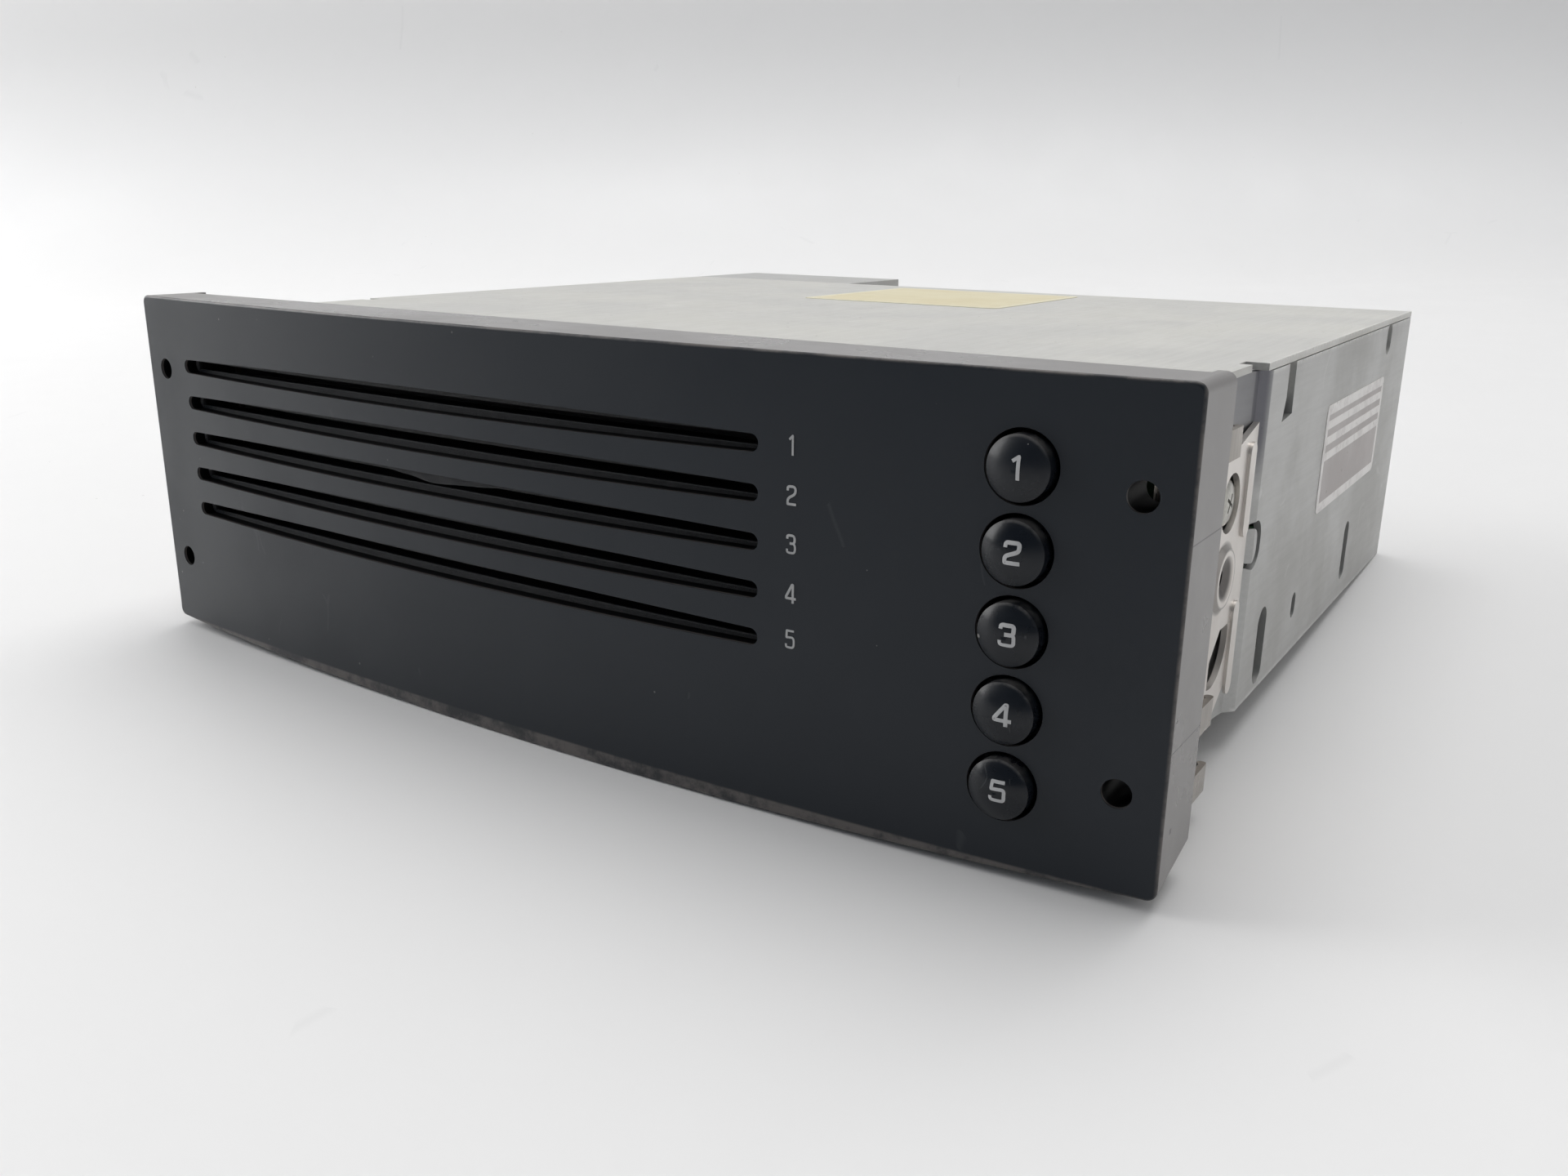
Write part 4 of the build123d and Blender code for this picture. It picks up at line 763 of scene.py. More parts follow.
@dataclass(frozen=True)
class LabelPaper:
    """Glued paper label: printed field, pale border and blank bands, fibre, yellowing and dirt."""

    name: str
    colour: Colour
    old: Colour
    box: tuple[Place, Place]
    border: Colour
    bands: tuple[float, ...]
    border_width: float = 1.7
    band_width: float = 1.5
    least_side: float = 1.0

    def build(self) -> bpy.types.Material:
        """Make the material."""
        skin = Skin(self.name)
        places = skin.split(skin.where)
        insets = [skin.less((far - near) / 2 * MM, skin.far(place, (near + far) / 2))
                  for place, near, far in zip(places, *self.box) if far - near > self.least_side]
        pale = [skin.fall(skin.math("MINIMUM", *insets), self.border_width - 0.15, self.border_width)]
        half = self.band_width / 2
        pale += [skin.fall(skin.far(places[2], height), half - 0.12, half) for height in self.bands]
        shown = skin.times(skin.most(*pale), skin.patchy(300.0, 5.0, 0.3, 0.55, 0.55))
        age = skin.smudges(40.0)
        colour = skin.layers(self.colour, (age, 0.55, self.old), (shown, 1.0, self.border),
                             (skin.specks(360.0, 0.12, 0.12), 0.45, (0.2, 0.18, 0.15)))
        fibre = skin.noise(skin.where, 2600.0, 5.0, 0.7)
        return skin.finish(colour, skin.between(age, 0.5, 0.72), Normal=skin.bump(fibre, 0.02))


@dataclass(frozen=True)
class StudioFloor:
    """Matt pale table top with faint specks and hairline scratches."""

    name: str = "studio_floor"
    colour: Colour = (0.79, 0.785, 0.78)

    def build(self) -> bpy.types.Material:
        """Make the material."""
        skin = Skin(self.name)
        broad = skin.smudges(5.0)
        colour = skin.layers(self.colour, (broad, 0.3, (0.74, 0.735, 0.73)),
                             (skin.specks(130.0, 0.05, 0.05), 0.35, (0.4, 0.39, 0.37)),
                             (skin.scratches(14.0, 0.2), 0.1, (0.5, 0.5, 0.5)))
        return skin.finish(colour, skin.between(broad, 0.42, 0.55))


ZINC = (0.60, 0.595, 0.57)


def finishes() -> dict[str, bpy.types.Material]:
    """Build one material for each material slot of the record.

    Returns:
        The materials by slot name.
    """
    made = {
        "panel_plastic": FrontPlastic(),
        "button_plastic": CapPlastic(),
        "felt": Felt("curtain_felt", (0.006, 0.006, 0.007), (0.022, 0.021, 0.021)),
        "inner_plastic": MouldedPlastic("shroud_plastic", (0.014, 0.013, 0.014), 0.55),
        # The wall carries painted shade in its recess and its bend.
        "zinc_sheet": SheetMetal("zinc_wall", (0.5, 0.5, 0.49), brush=Brush.ALONG_Y, roughness=0.5,
                                 metallic=0.8, streaks=0.07, staining=0.2, edge_node="chassis_tray",
                                 tarnish=(46.6, 17.0, 2.2)),
        "cover_sheet": SheetMetal("zinc_cover", ZINC, (0.44, 0.43, 0.38), 0.5, 0.8, Brush.ALONG_Y, 0.08, 0.24,
                                  0.08, "top_cover", 0.7),
        "bright_sheet": SheetMetal("spring_sheet", (0.4, 0.37, 0.34), brush=Brush.ALONG_Z, roughness=0.3,
                                   streaks=0.15, metallic=1.0),
        "nickel_sheet": NickelPlate(),
        "screw_steel": SheetMetal("screw_plating", (0.55, 0.54, 0.5), brush=Brush.EVEN, roughness=0.34),
        "stud_steel": SheetMetal("stud_plating", (0.56, 0.55, 0.48), brush=Brush.EVEN, roughness=0.36),
        "socket_plastic": MouldedPlastic("socket_plastic", (0.015, 0.015, 0.017), 0.48),
        "contact_metal": SheetMetal("contact_tin", (0.72, 0.6, 0.34), brush=Brush.ALONG_Y, roughness=0.28),
        "board_green": BoardLacquer(),
        "chip_black": MouldedPlastic("chip_resin", (0.012, 0.012, 0.013), 0.6, 2600.0, 0.02),
        "mat_rubber": SoftRubber("keypad_rubber", (0.03, 0.03, 0.032)),
        "frame_plastic": MouldedPlastic("filled_plastic", (0.03, 0.03, 0.032), 0.5, 3000.0, 0.02),
        "strip_plastic": MouldedPlastic("slip_strip", (0.62, 0.6, 0.56), 0.35, dust_colour=(0.2, 0.19, 0.17)),
        "roller_rubber": SoftRubber("roller_rubber", (0.022, 0.022, 0.024), 0.62),
        "gear_plastic": MouldedPlastic("gear_plastic", (0.68, 0.65, 0.57), 0.4,
                                       dust_colour=(0.12, 0.11, 0.1)),
        "pin_steel": SheetMetal("ground_steel", (0.6, 0.6, 0.6), brush=Brush.EVEN, roughness=0.22,
                                staining=0.15),
        "motor_steel": SheetMetal("motor_can", (0.5, 0.5, 0.48), brush=Brush.ALONG_X, roughness=0.32),
        "tray_plastic": MouldedPlastic("tray_plastic", (0.05, 0.05, 0.054), 0.46),
        "plated_sheet": SheetMetal("inner_sheet", (0.56, 0.56, 0.52), brush=Brush.ALONG_X, roughness=0.36),
        "damper_rubber": SoftRubber("damper_rubber", (0.014, 0.014, 0.015)),
        "sled_plastic": MouldedPlastic("sled_plastic", (0.018, 0.018, 0.02), 0.42),
        "lens_glass": CoatedGlass(),
    }
    return {slot: finish.build() for slot, finish in made.items()}


class Bench:
    """Puts finished pieces into the frame and dresses the CAD nodes."""

    def __init__(self) -> None:
        """Build the finishes once."""
        self.skins = finishes()

    def dress(self, nodes: Iterable[str]) -> None:
        """Give CAD nodes the finish of their material slot.

        Args:
            nodes: Names of the nodes.
        """
        slots = {part["node"]: part["material_slot"] for part in frame["record"]["subparts"]}
        for name in nodes:
            mesh = frame["nodes"][name].data
            mesh.materials.clear()
            mesh.materials.append(self.skins[slots[name]])
            LOG.info("dressed %s with %s", name, self.skins[slots[name]].name)

    @staticmethod
    def settle(piece: bpy.types.Object, material: bpy.types.Material, body: str,
               slot: Optional[str] = None) -> None:
        """Give a new piece its material and its body.

        Args:
            piece: The finished piece.
            material: Its finish.
            body: The body that it rides on.
            slot: The record's slot that its finish comes from; not used.
        """
        piece.data.materials.clear()
        piece.data.materials.append(material)
        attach(piece, body)
        LOG.info("made %s on %s: %d faces", piece.name, body, len(piece.data.polygons))


def clear_choice() -> None:
    """Leave edit mode and deselect everything."""
    if bpy.context.mode != "OBJECT":
        bpy.ops.object.mode_set(mode="OBJECT")
    bpy.ops.object.select_all(action="DESELECT")


def choose(piece: bpy.types.Object) -> None:
    """Make a piece the only selected and active one."""
    clear_choice()
    piece.select_set(True)
    bpy.context.view_layer.objects.active = piece


def name_new(name: str) -> bpy.types.Object:
    """Name the piece that an operator has just added.

    Args:
        name: The piece's name.

    Returns:
        The piece, with its place applied to its mesh.
    """
    piece = bpy.context.active_object
    piece.name = name
    piece.data.name = name
    bpy.ops.object.transform_apply(location=True, rotation=True, scale=True)
    return piece


def shape_vertices(piece: bpy.types.Object, rule: Callable[[Vector], Sequence[float]]) -> None:
    """Move each vertex of a piece by a rule.

    Args:
        piece: The piece.
        rule: Gives the new place for an old one, both in metres.
    """
    for vertex in piece.data.vertices:
        vertex.co = rule(vertex.co)
    piece.data.update()


def smooth(piece: bpy.types.Object, angle: float) -> None:
    """Shade a piece smooth up to an angle in degrees."""
    choose(piece)
    bpy.ops.object.shade_smooth_by_angle(angle=math.radians(angle))


def pick_edges(piece: bpy.types.Object, wanted: Callable[[Vector, Vector], bool]) -> None:
    """Enter edit mode with some edges of the active piece selected.

    Args:
        piece: The piece.
        wanted: Says of an edge's two ends whether the edge is taken.
    """
    bpy.ops.object.mode_set(mode="EDIT")
    bpy.ops.mesh.select_all(action="DESELECT")
    bpy.ops.object.mode_set(mode="OBJECT")
    for edge in piece.data.edges:
        edge.select = wanted(*(piece.data.vertices[index].co for index in edge.vertices))
    bpy.ops.object.mode_set(mode="EDIT")
    bpy.ops.mesh.select_mode(type="EDGE")


def bevel_picked(piece: bpy.types.Object, offset: float, segments: int, angle: float) -> None:
    """Round the picked edges, leave edit mode and shade the piece smooth.

    Args:
        piece: The piece.
        offset: Width of the rounding in metres.
        segments: Faces across it.
        angle: Angle of the shading in degrees.
    """
    bpy.ops.mesh.bevel(offset=offset, segments=segments)
    bpy.ops.object.mode_set(mode="OBJECT")
    smooth(piece, angle)


def turned(way: Sequence[float], place: Sequence[float]) -> Matrix:
    """Matrix that points the Z axis along a way and moves to a place in millimetres."""
    turn = Vector((0, 0, 1)).rotation_difference(Vector(way)).to_matrix().to_4x4()
    return Matrix.Translation(Vector(place) * MM) @ turn


def lathe(name: str, profile: Sequence[tuple[float, float]], steps: int) -> bpy.types.Object:
    """Spin a profile round the Z axis.

    Args:
        name: The piece's name.
        profile: Radius and height of each corner, in millimetres, along the outline.
        steps: Faces round the axis.

    Returns:
        The turned piece, closed and with its normals outwards.
    """
    clear_choice()
    bpy.ops.mesh.primitive_plane_add(size=MM, location=(0, 0, 0))
    piece = name_new(name)
    bpy.ops.object.mode_set(mode="EDIT")
    bpy.ops.mesh.select_mode(type="VERT")
    bpy.ops.mesh.select_all(action="SELECT")
    bpy.ops.mesh.merge(type="CENTER")
    last = (0.0, 0.0)
    for corner in profile:
        move = ((corner[0] - last[0]) * MM, 0, (corner[1] - last[1]) * MM)
        if corner is profile[0]:
            bpy.ops.transform.translate(value=move)
        else:
            bpy.ops.mesh.extrude_region_move(TRANSFORM_OT_translate={"value": move})
        last = corner
    bpy.ops.mesh.select_all(action="SELECT")
    bpy.ops.mesh.spin(steps=steps, angle=2 * math.pi, center=(0, 0, 0), axis=(0, 0, 1))
    bpy.ops.mesh.select_all(action="SELECT")
    bpy.ops.mesh.remove_doubles(threshold=0.002 * MM)
    bpy.ops.mesh.normals_make_consistent(inside=False)
    bpy.ops.object.mode_set(mode="OBJECT")
    return piece


def cut_away(piece: bpy.types.Object, cutter: bpy.types.Object, operation: str = "DIFFERENCE") -> None:
    """Cut one piece with another and delete the cutter.

    Args:
        piece: The piece to keep.
        cutter: The piece to take away, or to keep within.
        operation: DIFFERENCE or INTERSECT.
    """
    choose(piece)
    tool = piece.modifiers.new("cut", "BOOLEAN")
    tool.operation = operation
    tool.solver = "EXACT"
    tool.object = cutter
    bpy.ops.object.modifier_apply(modifier=tool.name)
    bpy.data.objects.remove(cutter)


def copy_piece(piece: bpy.types.Object, name: str, place: Matrix) -> bpy.types.Object:
    """Copy a piece with its own mesh and put the copy in its place.

    Args:
        piece: The piece to copy.
        name: The copy's name.
        place: Where the copy goes.

    Returns:
        The copy.
    """
    twin = piece.copy()
    twin.data = piece.data.copy()
    twin.name = name
    twin.data.name = name
    twin.data.transform(place)
    bpy.context.collection.objects.link(twin)
    return twin


@dataclass
class Numerals:
    """Stroke-drawn numerals, in units of half their height over 1.5."""

    lift: float = 0.05
    strokes: dict[str, list[list[tuple[float, float]]]] = field(default_factory=lambda: {
        "1": [[(-0.62, 0.72), (0.12, 1.26), (0.12, 1.26), (0.12, -1.5)]],
        "2": [[(-0.85, 0.62), (-0.85, 1.22), (0.85, 1.22), (0.85, 0.25), (-0.85, -0.45), (-0.85, -1.22),
               (-0.85, -1.22), (0.98, -1.22)]],
        "3": [[(-0.84, 0.72), (-0.84, 1.22), (0.8, 1.22), (0.8, 0.1), (-0.3, 0.1)],
              [(-0.3, 0.1), (0.88, 0.1), (0.88, -1.22), (-0.88, -1.22), (-0.88, -0.7)]],
        "4": [[(0.52, -1.5), (0.52, 1.25), (0.52, 1.25), (0.34, 1.25), (0.34, 1.25), (-0.95, -0.5),
               (-0.95, -0.5), (-0.95, -0.72), (-0.95, -0.72), (1.2, -0.72)]],
        "5": [[(0.88, 1.22), (-0.72, 1.22), (-0.72, 1.22), (-0.78, 0.22), (-0.78, 0.22), (0.88, 0.32),
               (0.88, -1.22), (-0.88, -1.22), (-0.88, -0.72)]],
    })

    @staticmethod
    def rounded(path: Sequence[tuple[float, float]], radius: float) -> list[tuple[float, float]]:
        """Round the inner corners of a path and set its points close together.

        Args:
            path: Corners of the path.
            radius: How far from each corner the bend starts.

        Returns:
            The path with its bends.
        """
        bends = [path[0]]
        for before, corner, after in zip(path, path[1:], path[2:]):
            here = Vector(corner)
            ways = [Vector(other) - here for other in (before, after)]
            start, end = (here + way.normalized() * min(radius, way.length / 2) for way in ways)
            for step in range(6):
                t = step / 5
                bends.append(tuple(start * (1 - t) ** 2 + here * 2 * t * (1 - t) + end * t ** 2))
        bends.append(path[-1])
        close = [bends[0]]
        for start, end in zip(bends, bends[1:]):
            parts = max(1, math.ceil((Vector(end) - Vector(start)).length / 0.2))
            close += [tuple(Vector(start).lerp(Vector(end), part / parts)) for part in range(1, parts + 1)]
        return close

    def draw(self, name: str, digit: str, size: tuple[float, float], stroke: float, bend: float,
             surface: Callable[[float, float], float], middle: tuple[float, float]) -> bpy.types.Object:
        """Draw one numeral on a surface.

        Args:
            name: The piece's name.
            digit: The numeral.
            size: Width and height in millimetres.
            stroke: Width of the stroke in millimetres.
            bend: How round the corners are, as a share of the numeral.
            surface: Gives the surface's Y for an X and a Z, all in millimetres.
            middle: X and Z of the numeral's middle in millimetres.

        Returns:
            The numeral as a mesh that lies on the surface.
        """
        line = bpy.data.curves.new(name, "CURVE")
        line.dimensions = "3D"
        line.bevel_depth = stroke / 2 * MM
        line.bevel_resolution = 1
        line.use_fill_caps = True
        for path in self.strokes[digit]:
            points = self.rounded(path, bend)
            spline = line.splines.new("POLY")
            spline.points.add(len(points) - 1)
            for point, (across, up) in zip(spline.points, points):
                wide = (size[0] - stroke) / 2 / 0.9
                tall = (size[1] - stroke) / 2 / 1.22 if abs(up) < 1.4 else size[1] / 3
                point.co = (across * wide * MM, 0, up * tall * MM, 1)
        piece = bpy.data.objects.new(name, line)
        bpy.context.collection.objects.link(piece)
        choose(piece)
        bpy.ops.object.convert(target="MESH")
        piece = bpy.context.active_object

        def laid(at: Vector) -> tuple[float, float, float]:
            """Lay one point of the stroke on the surface."""
            x, z = at.x + middle[0] * MM, at.z + middle[1] * MM
            return x, (surface(x / MM, z / MM) - self.lift) * MM + at.y * 0.1, z

        shape_vertices(piece, laid)
        smooth(piece, 60.0)
        return piece


@dataclass
class FrontPanel:
    """The moulded front with its slots and the printing on it."""

    mark_x: float = 45.9
    mark_heights: tuple[float, ...] = (18.45, 12.23, 6.06, -0.29, -6.33)
    mark_size: tuple[float, float] = (1.5, 2.55)
    flap_ends: tuple[float, float] = (-33.5, -2.0)
    flap_top: float = 7.35
    flap_sag: float = 1.75

    def face_y(self, x: float, z: float = 0.0) -> float:
        """Depth of the bowed face, in millimetres, at a place on it."""
        return BOW_RADIUS - BULGE - math.sqrt(BOW_RADIUS ** 2 - x ** 2)

    def print_marks(self, bench: Bench) -> None:
        """Print a numeral beside each slot."""
        ink = PrintedInk("slot_ink", (0.42, 0.42, 0.42), 0.35).build()
        for number, height in enumerate(self.mark_heights, 1):
            mark = Numerals().draw(f"slot_mark_{number}", str(number), self.mark_size, 0.33, 0.62,
                                   self.face_y, (self.mark_x, height))
            bench.settle(mark, ink, "chassis")

    def hang_flap(self, bench: Bench) -> None:
        """Let the loosened edge of the dust curtain sag into the third slot."""
        clear_choice()
        bpy.ops.mesh.primitive_grid_add(x_subdivisions=48, y_subdivisions=6, size=1.0)
        piece = name_new("curtain_flap")
        left, right = self.flap_ends

        def hung(at: Vector) -> tuple[float, float, float]:
            """Hang one point of the strip, with a gentle wave along it."""
            along = at.x + 0.5
            x = left + along * (right - left)
            drop = self.flap_sag * math.sin(math.pi * along) ** 0.8 * (1 + 0.08 * math.sin(17 * along))
            z = self.flap_top - (0.5 - at.y) * drop
            y = self.face_y(x) + 2.0 - 0.35 * (0.5 - at.y) * math.sin(math.pi * along)
            return x * MM, (y + 0.05 * math.sin(31 * along + 4 * at.y)) * MM, z * MM

        shape_vertices(piece, hung)
        thick = piece.modifiers.new("thickness", "SOLIDIFY")
        thick.thickness = 0.28 * MM
        choose(piece)
        bpy.ops.object.modifier_apply(modifier=thick.name)
        smooth(piece, 50.0)
        felt = Felt("loose_felt", (0.013, 0.0135, 0.015), (0.045, 0.046, 0.05)).build()
        bench.settle(piece, felt, "chassis", "felt")

    def build(self, bench: Bench) -> None:
        """Dress the panel and what sits right behind it."""
        bench.dress(["front_panel", "dust_curtain", "slot_shroud", "front_frame"])
        self.print_marks(bench)
        self.hang_flap(bench)


@dataclass
class ButtonRow:
    """Five domed caps, each with its numeral."""

    apex: float = -3.655
    dome_radius: float = 6.617
    mark_size: tuple[float, float] = (2.2, 2.8)
    mark_shift: tuple[float, float] = (0.4, 0.3)

    def print_marks(self, bench: Bench) -> None:
        """Print a numeral on each cap."""
        ink = PrintedInk("cap_ink", (0.5, 0.5, 0.5), 0.25).build()
        for number in range(1, CAP_COUNT + 1):
            height = CAP_TOP - (number - 1) * CAP_PITCH

            def dome(x: float, z: float, middle: float = height) -> float:
                """Depth of the dome at a place on it."""
                away = (x - CAP_X) ** 2 + (z - middle) ** 2
                return self.apex + self.dome_radius - math.sqrt(self.dome_radius ** 2 - away)

            mark = Numerals().draw(f"button_mark_{number}", str(number), self.mark_size, 0.48, 0.4,
                                   dome, (CAP_X + self.mark_shift[0], height + self.mark_shift[1]))
            bench.settle(mark, ink, f"button_{number}")

    def build(self, bench: Bench) -> None:
        """Dress the caps and the switches behind them."""
        bench.dress([f"button_{number}" for number in range(1, CAP_COUNT + 1)])
        bench.dress(["keypad_mat", "switch_board"])
        self.print_marks(bench)


@dataclass
class SheetLabel:
    """A plain paper label glued on a sheet wall."""

    name: str
    low: Place
    high: Place
    paper: Colour
    old: Colour
    border: Colour
    bands: tuple[float, ...] = ()
    corner: float = 1.4

    def build(self, bench: Bench) -> None:
        """Cut the label, round its corners and glue it on."""
        size = [far - near for near, far in zip(self.low, self.high)]
        middle = [(near + far) / 2 for near, far in zip(self.low, self.high)]
        thin = size.index(min(size))
        clear_choice()
        bpy.ops.mesh.primitive_cube_add(size=1.0)
        piece = name_new(self.name)
        shape_vertices(piece, lambda at: [(m + a * s) * MM for m, a, s in zip(middle, at, size)])
        pick_edges(piece, lambda start, end: abs((end - start).normalized()[thin]) > 0.9)
        bevel_picked(piece, self.corner * MM, 4, 30.0)
        skin = LabelPaper(self.name + "_paper", self.paper, self.old, (self.low, self.high), self.border,
                          self.bands).build()
        bench.settle(piece, skin, "chassis")


@dataclass
class CrossScrews:
    """Pan-head screws with a cross recess, for every screw of the unit."""

    heads: dict[float, float] = field(default_factory=lambda: {2.0: 6.4, 4.0: 5.0, 5.0: 5.0})
    head_height: float = 1.5
    shank: float = 2.5
    thread_pitch: float = 0.8
    places: tuple[tuple[Place, Place, float], ...] = (
        ((86.85, 36.0, 9.753), (1, 0, 0), 2.0),
        ((-86.85, 36.0, 9.753), (-1, 0, 0), 2.0),
        ((63.2, 8.2, 22.35), (0, 1, 0), 5.0),
        ((63.2, 8.2, -22.35), (0, 1, 0), 5.0),
        ((82.4, 8.2, 4.55), (0, 1, 0), 5.0),
        ((81.0, 157.0, 15.953), (0, 1, 0), 4.0),
        ((81.0, 157.0, -14.047), (0, 1, 0), 4.0),
        ((-81.0, 157.0, -18.647), (0, 1, 0), 4.0),
        ((-30.0, 157.0, 19.953), (0, 1, 0), 4.0),
    )

    def profile(self, length: float) -> list[tuple[float, float]]:
        """Outline of a screw, its head above zero and its threaded shank below."""
        rim, top, pitch = self.heads[length] / 2, self.head_height, self.thread_pitch
        root, crest = self.shank / 2 * 0.84, self.shank / 2
        outline = [(0.0, top), (rim * 0.45, top - 0.03), (rim * 0.78, top - 0.2), (rim * 0.94, top - 0.5),
                   (rim, top - 0.85), (rim, 0.06), (rim - 0.06, 0.0), (root, 0.0)]
        for turn in range(int(length / pitch)):
            low = -0.15 - pitch * turn
            outline += [(root, low), (crest, low - 0.3), (root, low - 0.6)]
        return outline + [(0.0, -length)]

    def master(self, length: float) -> bpy.types.Object:
        """Turn one screw and cut its cross recess.

        Args:
            length: Length of the shank in millimetres.

        Returns:
            The screw at the origin, its head up.
        """
        screw = lathe(f"screw_master_{length:.0f}", self.profile(length), 28)
        for angle in (0, 90):
            clear_choice()
            bpy.ops.mesh.primitive_cube_add(size=1.0, location=(0, 0, self.head_height * MM))
            blade = bpy.context.active_object
            blade.scale = (0.6 * MM, self.heads[length] * 0.56 * MM, 1.7 * MM)
            blade.rotation_euler = (0, 0, math.radians(angle))
            bpy.ops.object.transform_apply(location=True, rotation=True, scale=True)
            for vertex in blade.data.vertices:
                if vertex.co.z < self.head_height * MM:
                    vertex.co.x *= 0.55
                    vertex.co.y *= 0.55
            cut_away(screw, blade)
        smooth(screw, 32.0)
        return screw

    def build(self, bench: Bench) -> None:
        """Put a screw in every place and hide the plain solids."""
        masters = {length: self.master(length) for length in sorted({place[2] for place in self.places})}
        for number, (at, way, length) in enumerate(self.places, 1):
            place = turned(way, at) @ Matrix.Rotation(math.radians(23 + 37 * number), 4, "Z")
            screw = copy_piece(masters[length], f"cross_screw_{number}", place)
            bench.settle(screw, bench.skins["screw_steel"], "chassis", "screw_steel")
            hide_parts("screws")
        for master in masters.values():
            bpy.data.objects.remove(master)


@dataclass
class RearStud:
    """Threaded stud that supports the unit at the back, its collar and its chamfered nut."""

    x: float = 20.0
    z: float = 1.953
    wall: float = 157.0
    length: float = 12.0
    radius: float = 2.5
    neck: float = 2.2
    collar: float = 4.0
    nut_height: float = 2.4
    thread_pitch: float = 0.8

    def stud(self) -> bpy.types.Object:
        """Turn the stud with its collar and thread."""
        height, root = self.nut_height + 0.2, self.radius * 0.86
        outline = [(0.0, -3.5), (self.collar - 0.3, -3.5), (self.collar, -3.2), (self.collar, -1.01),
                   (self.neck, -1.01), (self.neck, height)]
        while height + self.thread_pitch < self.length - 0.5:
            outline += [(root, height), (self.radius, height + 0.3), (self.radius, height + 0.45)]
            height += self.thread_pitch
        outline += [(root, height), (self.radius * 0.8, self.length), (0.0, self.length)]
        return lathe("support_stud", outline, 28)

    def nut(self) -> bpy.types.Object:
        """Make a hexagon nut with turned chamfers and a bore."""
        clear_choice()
        bpy.ops.mesh.primitive_cylinder_add(vertices=6, radius=self.collar * MM, depth=self.nut_height * MM,
                                            location=(0, 0, self.nut_height / 2 * MM))
        nut = name_new("support_nut")
        flats, top = self.collar * 0.87, self.nut_height
        outline = [(0.0, -0.01), (flats, -0.01), (self.collar + 0.1, 0.45), (self.collar + 0.1, top - 0.45),
                   (flats, top + 0.01), (0.0, top + 0.01)]
        cut_away(nut, lathe("nut_chamfer", outline, 32), "INTERSECT")
        bore = self.neck + 0.05
        cut_away(nut, lathe("nut_bore", [(0.0, -1.0), (bore, -1.0), (bore, top + 1), (0.0, top + 1)], 28))
        return nut

    def build(self, bench: Bench) -> None:
        """Put the stud and its nut on the rear wall."""
        place = turned((0, 1, 0), (self.x, self.wall, self.z))
        for piece in (self.stud(), self.nut()):
            piece.data.transform(place)
            smooth(piece, 32.0)
            bench.settle(piece, bench.skins["stud_steel"], "chassis", "stud_steel")
            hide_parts("rear_stud")


@dataclass
class Chassis:
    """The sheet case: tray, cover, side plates, rear wall and rear box."""

    side_label: SheetLabel = field(default_factory=lambda: SheetLabel(
        "side_label", (89.0, 87.0, -1.5), (89.12, 135.0, 16.3), (0.5, 0.47, 0.46), (0.42, 0.39, 0.38),
        (0.82, 0.8, 0.78), (13.0, 10.4, 7.8)))
    cover_label: SheetLabel = field(default_factory=lambda: SheetLabel(
        "cover_label", (-23.0, 106.0, 26.953), (22.0, 150.0, 27.05), (0.62, 0.565, 0.385), (0.55, 0.48, 0.32),
        (0.66, 0.62, 0.47)))

    def build(self, bench: Bench) -> None:
        """Dress the sheets, glue the labels and drive the screws."""
        bench.dress(["chassis_tray", "top_cover", "side_plate_right", "side_plate_left", "screws",
                     "rear_panel", "rear_stud", "rear_box", "rear_connector", "connector_contacts"])
        self.side_label.build(bench)
        self.cover_label.build(bench)
        CrossScrews().build(bench)
        RearStud().build(bench)


@dataclass
class Mechanism:
    """What works inside: feed rollers, trays, cam plate, play deck and boards."""

    count: int = 5

    def feed(self, bench: Bench) -> None:
        """Dress the rollers and their gear train."""
        bench.dress([f"feed_roller_{number}" for number in range(1, self.count + 1)])
        bench.dress([f"idler_gear_{number}" for number in range(1, self.count)])
        bench.dress(["feed_frame", "guide_strips", "gear_pins", "reduction_gear", "motor_pinion",
                     "feed_motor", "motor_brackets"])

    def trays(self, bench: Bench) -> None:
        """Dress the trays and what spreads them."""
        bench.dress([f"disc_tray_{number}" for number in range(1, self.count + 1)])
        bench.dress(["guide_posts", "cam_plate", "cam_rail", "cam_screw", "cam_motor"])

    def deck(self, bench: Bench) -> None:
        """Dress the play deck."""
        bench.dress(["deck_plate", "deck_dampers", "deck_posts", "spindle_motor", "turntable", "guide_rods",
                     "pickup_sled", "pickup_lens", "sled_screw", "sled_motor"])

    def build(self, bench: Bench) -> None:
        """Dress every inner group and the boards."""
        self.feed(bench)
        self.trays(bench)
        self.deck(bench)
        bench.dress(["main_board", "board_parts", "socket_board"])


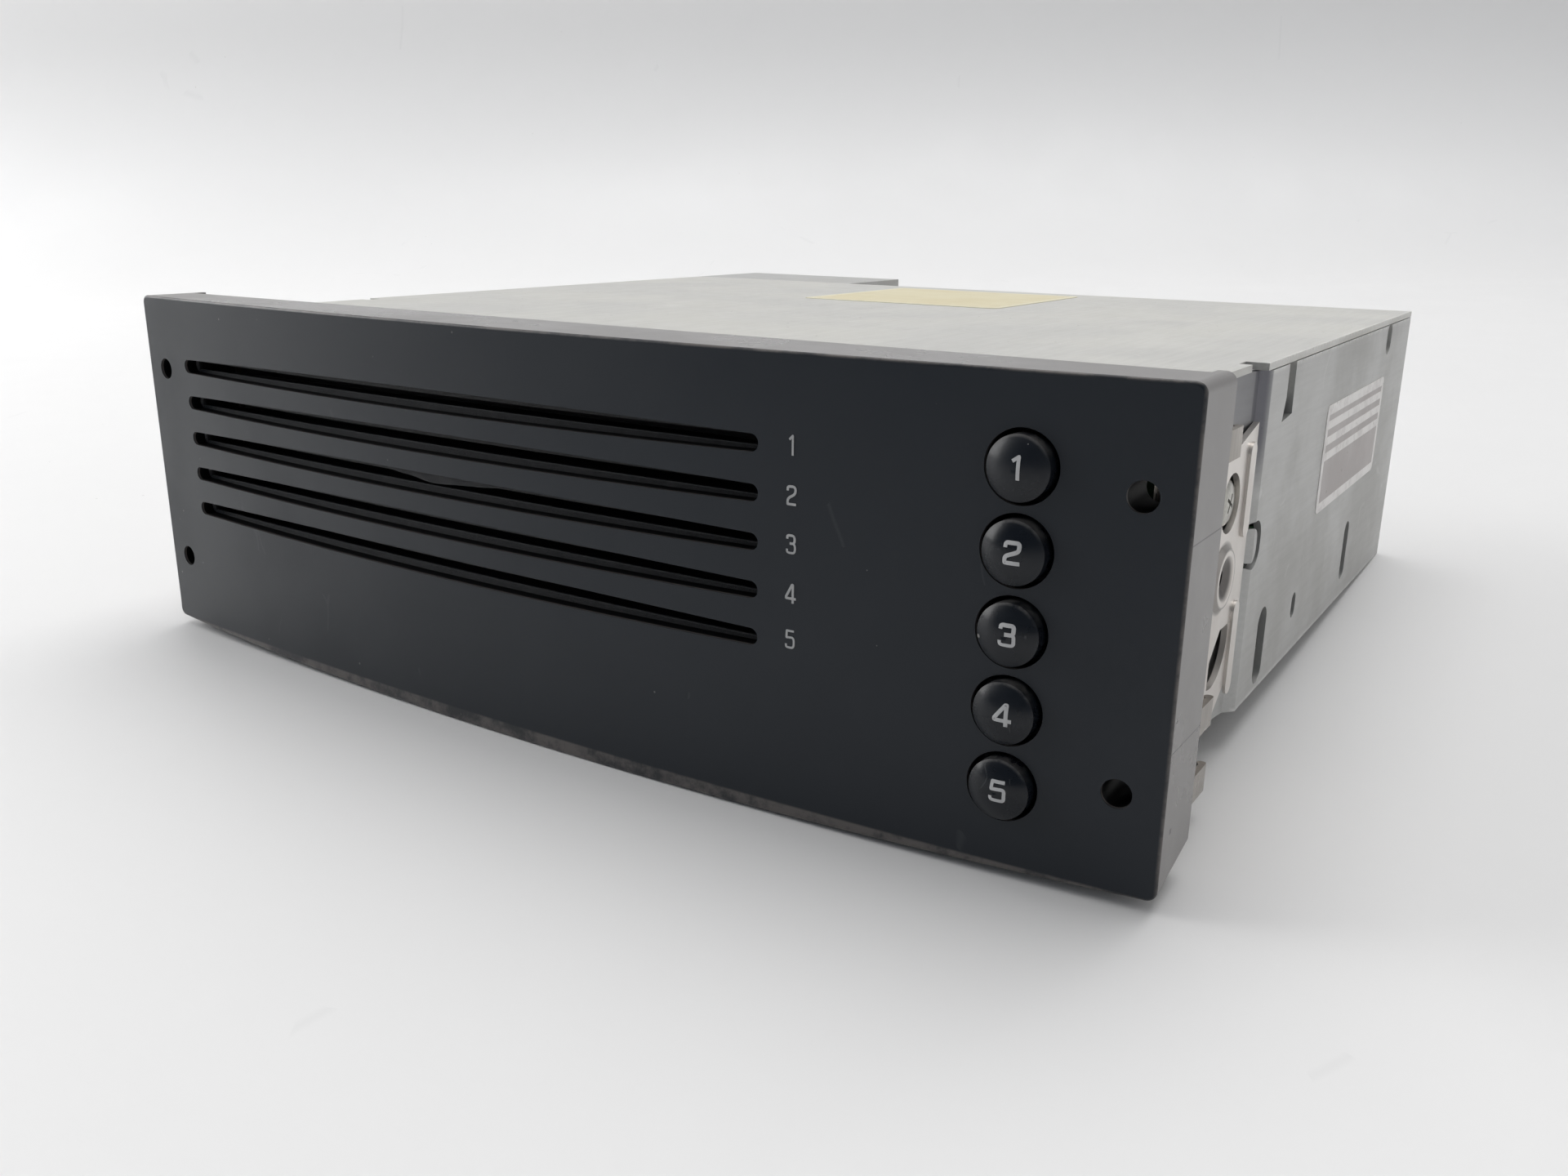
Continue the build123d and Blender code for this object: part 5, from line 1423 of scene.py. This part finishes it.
@dataclass
class Studio:
    """Pale floor with a rising wall, soft lights and the camera of the photograph."""

    floor_at: float = -31.5
    floor_rise: float = 0.0525
    level_line: float = -0.0034
    wall_distance: float = 0.92
    wall_height: float = 2.4
    sheet_size: float = 5.0
    bend: float = 0.16
    stand: Place = (0.13113, -0.13377, 0.04668)
    look: Place = (-0.5279, 0.8003, -0.2843)
    right: Place = (0.8330, 0.5532, 0.0104)

    def stage(self) -> None:
        """Build the floor and the wall as one bent sheet."""
        clear_choice()
        bpy.ops.mesh.primitive_plane_add(size=self.sheet_size)
        piece = name_new("studio_sheet")
        reach = self.sheet_size / 2
        pick_edges(piece, lambda first, second: min(first.y, second.y) > 0.8 * reach)
        bpy.ops.mesh.extrude_region_move(TRANSFORM_OT_translate={"value": (0, 0, self.wall_height)})
        bpy.ops.object.mode_set(mode="OBJECT")
        under = Vector((*self.stand[:2], 0.0))
        turn = Matrix.Rotation(math.atan2(-self.look[0], self.look[1]), 3, "Z")
        ahead = turn @ Vector((0, 1, 0))

        def placed(at: Vector) -> Vector:
            """Turn and slide the sheet, and tilt its floor as the table lay."""
            spot = turn @ Vector((at.x, at.y + self.wall_distance - reach, 0)) + under
            rise = self.floor_rise * (spot.y - self.level_line)
            return Vector((spot.x, spot.y, self.floor_at * MM + rise + at.z))

        def in_bend(*ends: Vector) -> bool:
            """Tell whether an edge is the one between the floor and the wall."""
            return all((end - under).dot(ahead) > self.wall_distance - 0.01 and end.z < 1.0 for end in ends)

        shape_vertices(piece, placed)
        pick_edges(piece, in_bend)
        bevel_picked(piece, self.bend, 14, 40.0)
        piece.data.materials.append(StudioFloor().build())
        LOG.info("made %s: %d faces", piece.name, len(piece.data.polygons))

    def light(self, name: str, place: Place, size: float, power: float, aim: Place = (0, 0.05, 0)) -> None:
        """Hang one soft light.

        Args:
            name: Name of the light.
            place: Where it hangs, in metres.
            size: Edge of its square, in metres.
            power: Power in watts.
            aim: The point that it faces.
        """
        lamp = bpy.data.lights.new(name, "AREA")
        lamp.size = size
        lamp.energy = power
        holder = bpy.data.objects.new(name, lamp)
        holder.location = place
        holder.rotation_euler = (Vector(aim) - Vector(place)).to_track_quat("-Z", "Y").to_euler()
        bpy.context.collection.objects.link(holder)

    def surround(self) -> None:
        """Set a pale surrounding that is darker in front of the panel."""
        world = bpy.data.worlds.new("studio_air")
        bpy.context.scene.world = world
        world.use_nodes = True
        sheet = NodeSheet(world.node_tree)
        _, y, _ = sheet.split(sheet.add("TexCoord").outputs["Generated"])
        air = sheet.add("Background")
        shade = sheet.ramp(y, -0.75, -0.3, 0.0, 1.0)
        sheet.put(air.inputs["Color"], sheet.blend(shade, (0.1, 0.12, 0.15), (0.66, 0.66, 0.66)))
        leave = sheet.add("OutputWorld")
        sheet.put(leave.inputs[0], air.outputs[0])

    def camera(self) -> None:
        """Stand the camera where the photograph was taken."""
        lens = bpy.data.cameras.new("portrait_lens")
        lens.lens = 29.913
        lens.sensor_width = 36.0
        lens.clip_start = 0.01
        lens.clip_end = 20.0
        eye = bpy.data.objects.new("portrait_camera", lens)
        ahead, right = Vector(self.look).normalized(), Vector(self.right).normalized()
        up = right.cross(ahead).normalized()
        axes = Matrix((right, up, -ahead)).transposed().to_4x4()
        eye.matrix_world = Matrix.Translation(self.stand) @ axes
        bpy.context.collection.objects.link(eye)
        bpy.context.scene.camera = eye

    def build(self) -> None:
        """Set up the whole studio."""
        self.stage()
        self.surround()
        self.light("left_softbox", (-1.2, -0.25, 0.5), 0.9, 10.5)
        self.light("overhead_softbox", (-0.1, 0.55, 1.25), 1.2, 15.0)
        self.camera()


def main() -> None:
    """Build and dress the changer, piece by piece."""
    logging.basicConfig(level=logging.INFO, format="%(name)s: %(message)s")
    bpy.context.scene.view_settings.view_transform = "Standard"
    Studio().build()
    bench = Bench()
    FrontPanel().build(bench)
    ButtonRow().build(bench)
    Chassis().build(bench)
    Mechanism().build(bench)


if __name__ == "__main__":
    main()
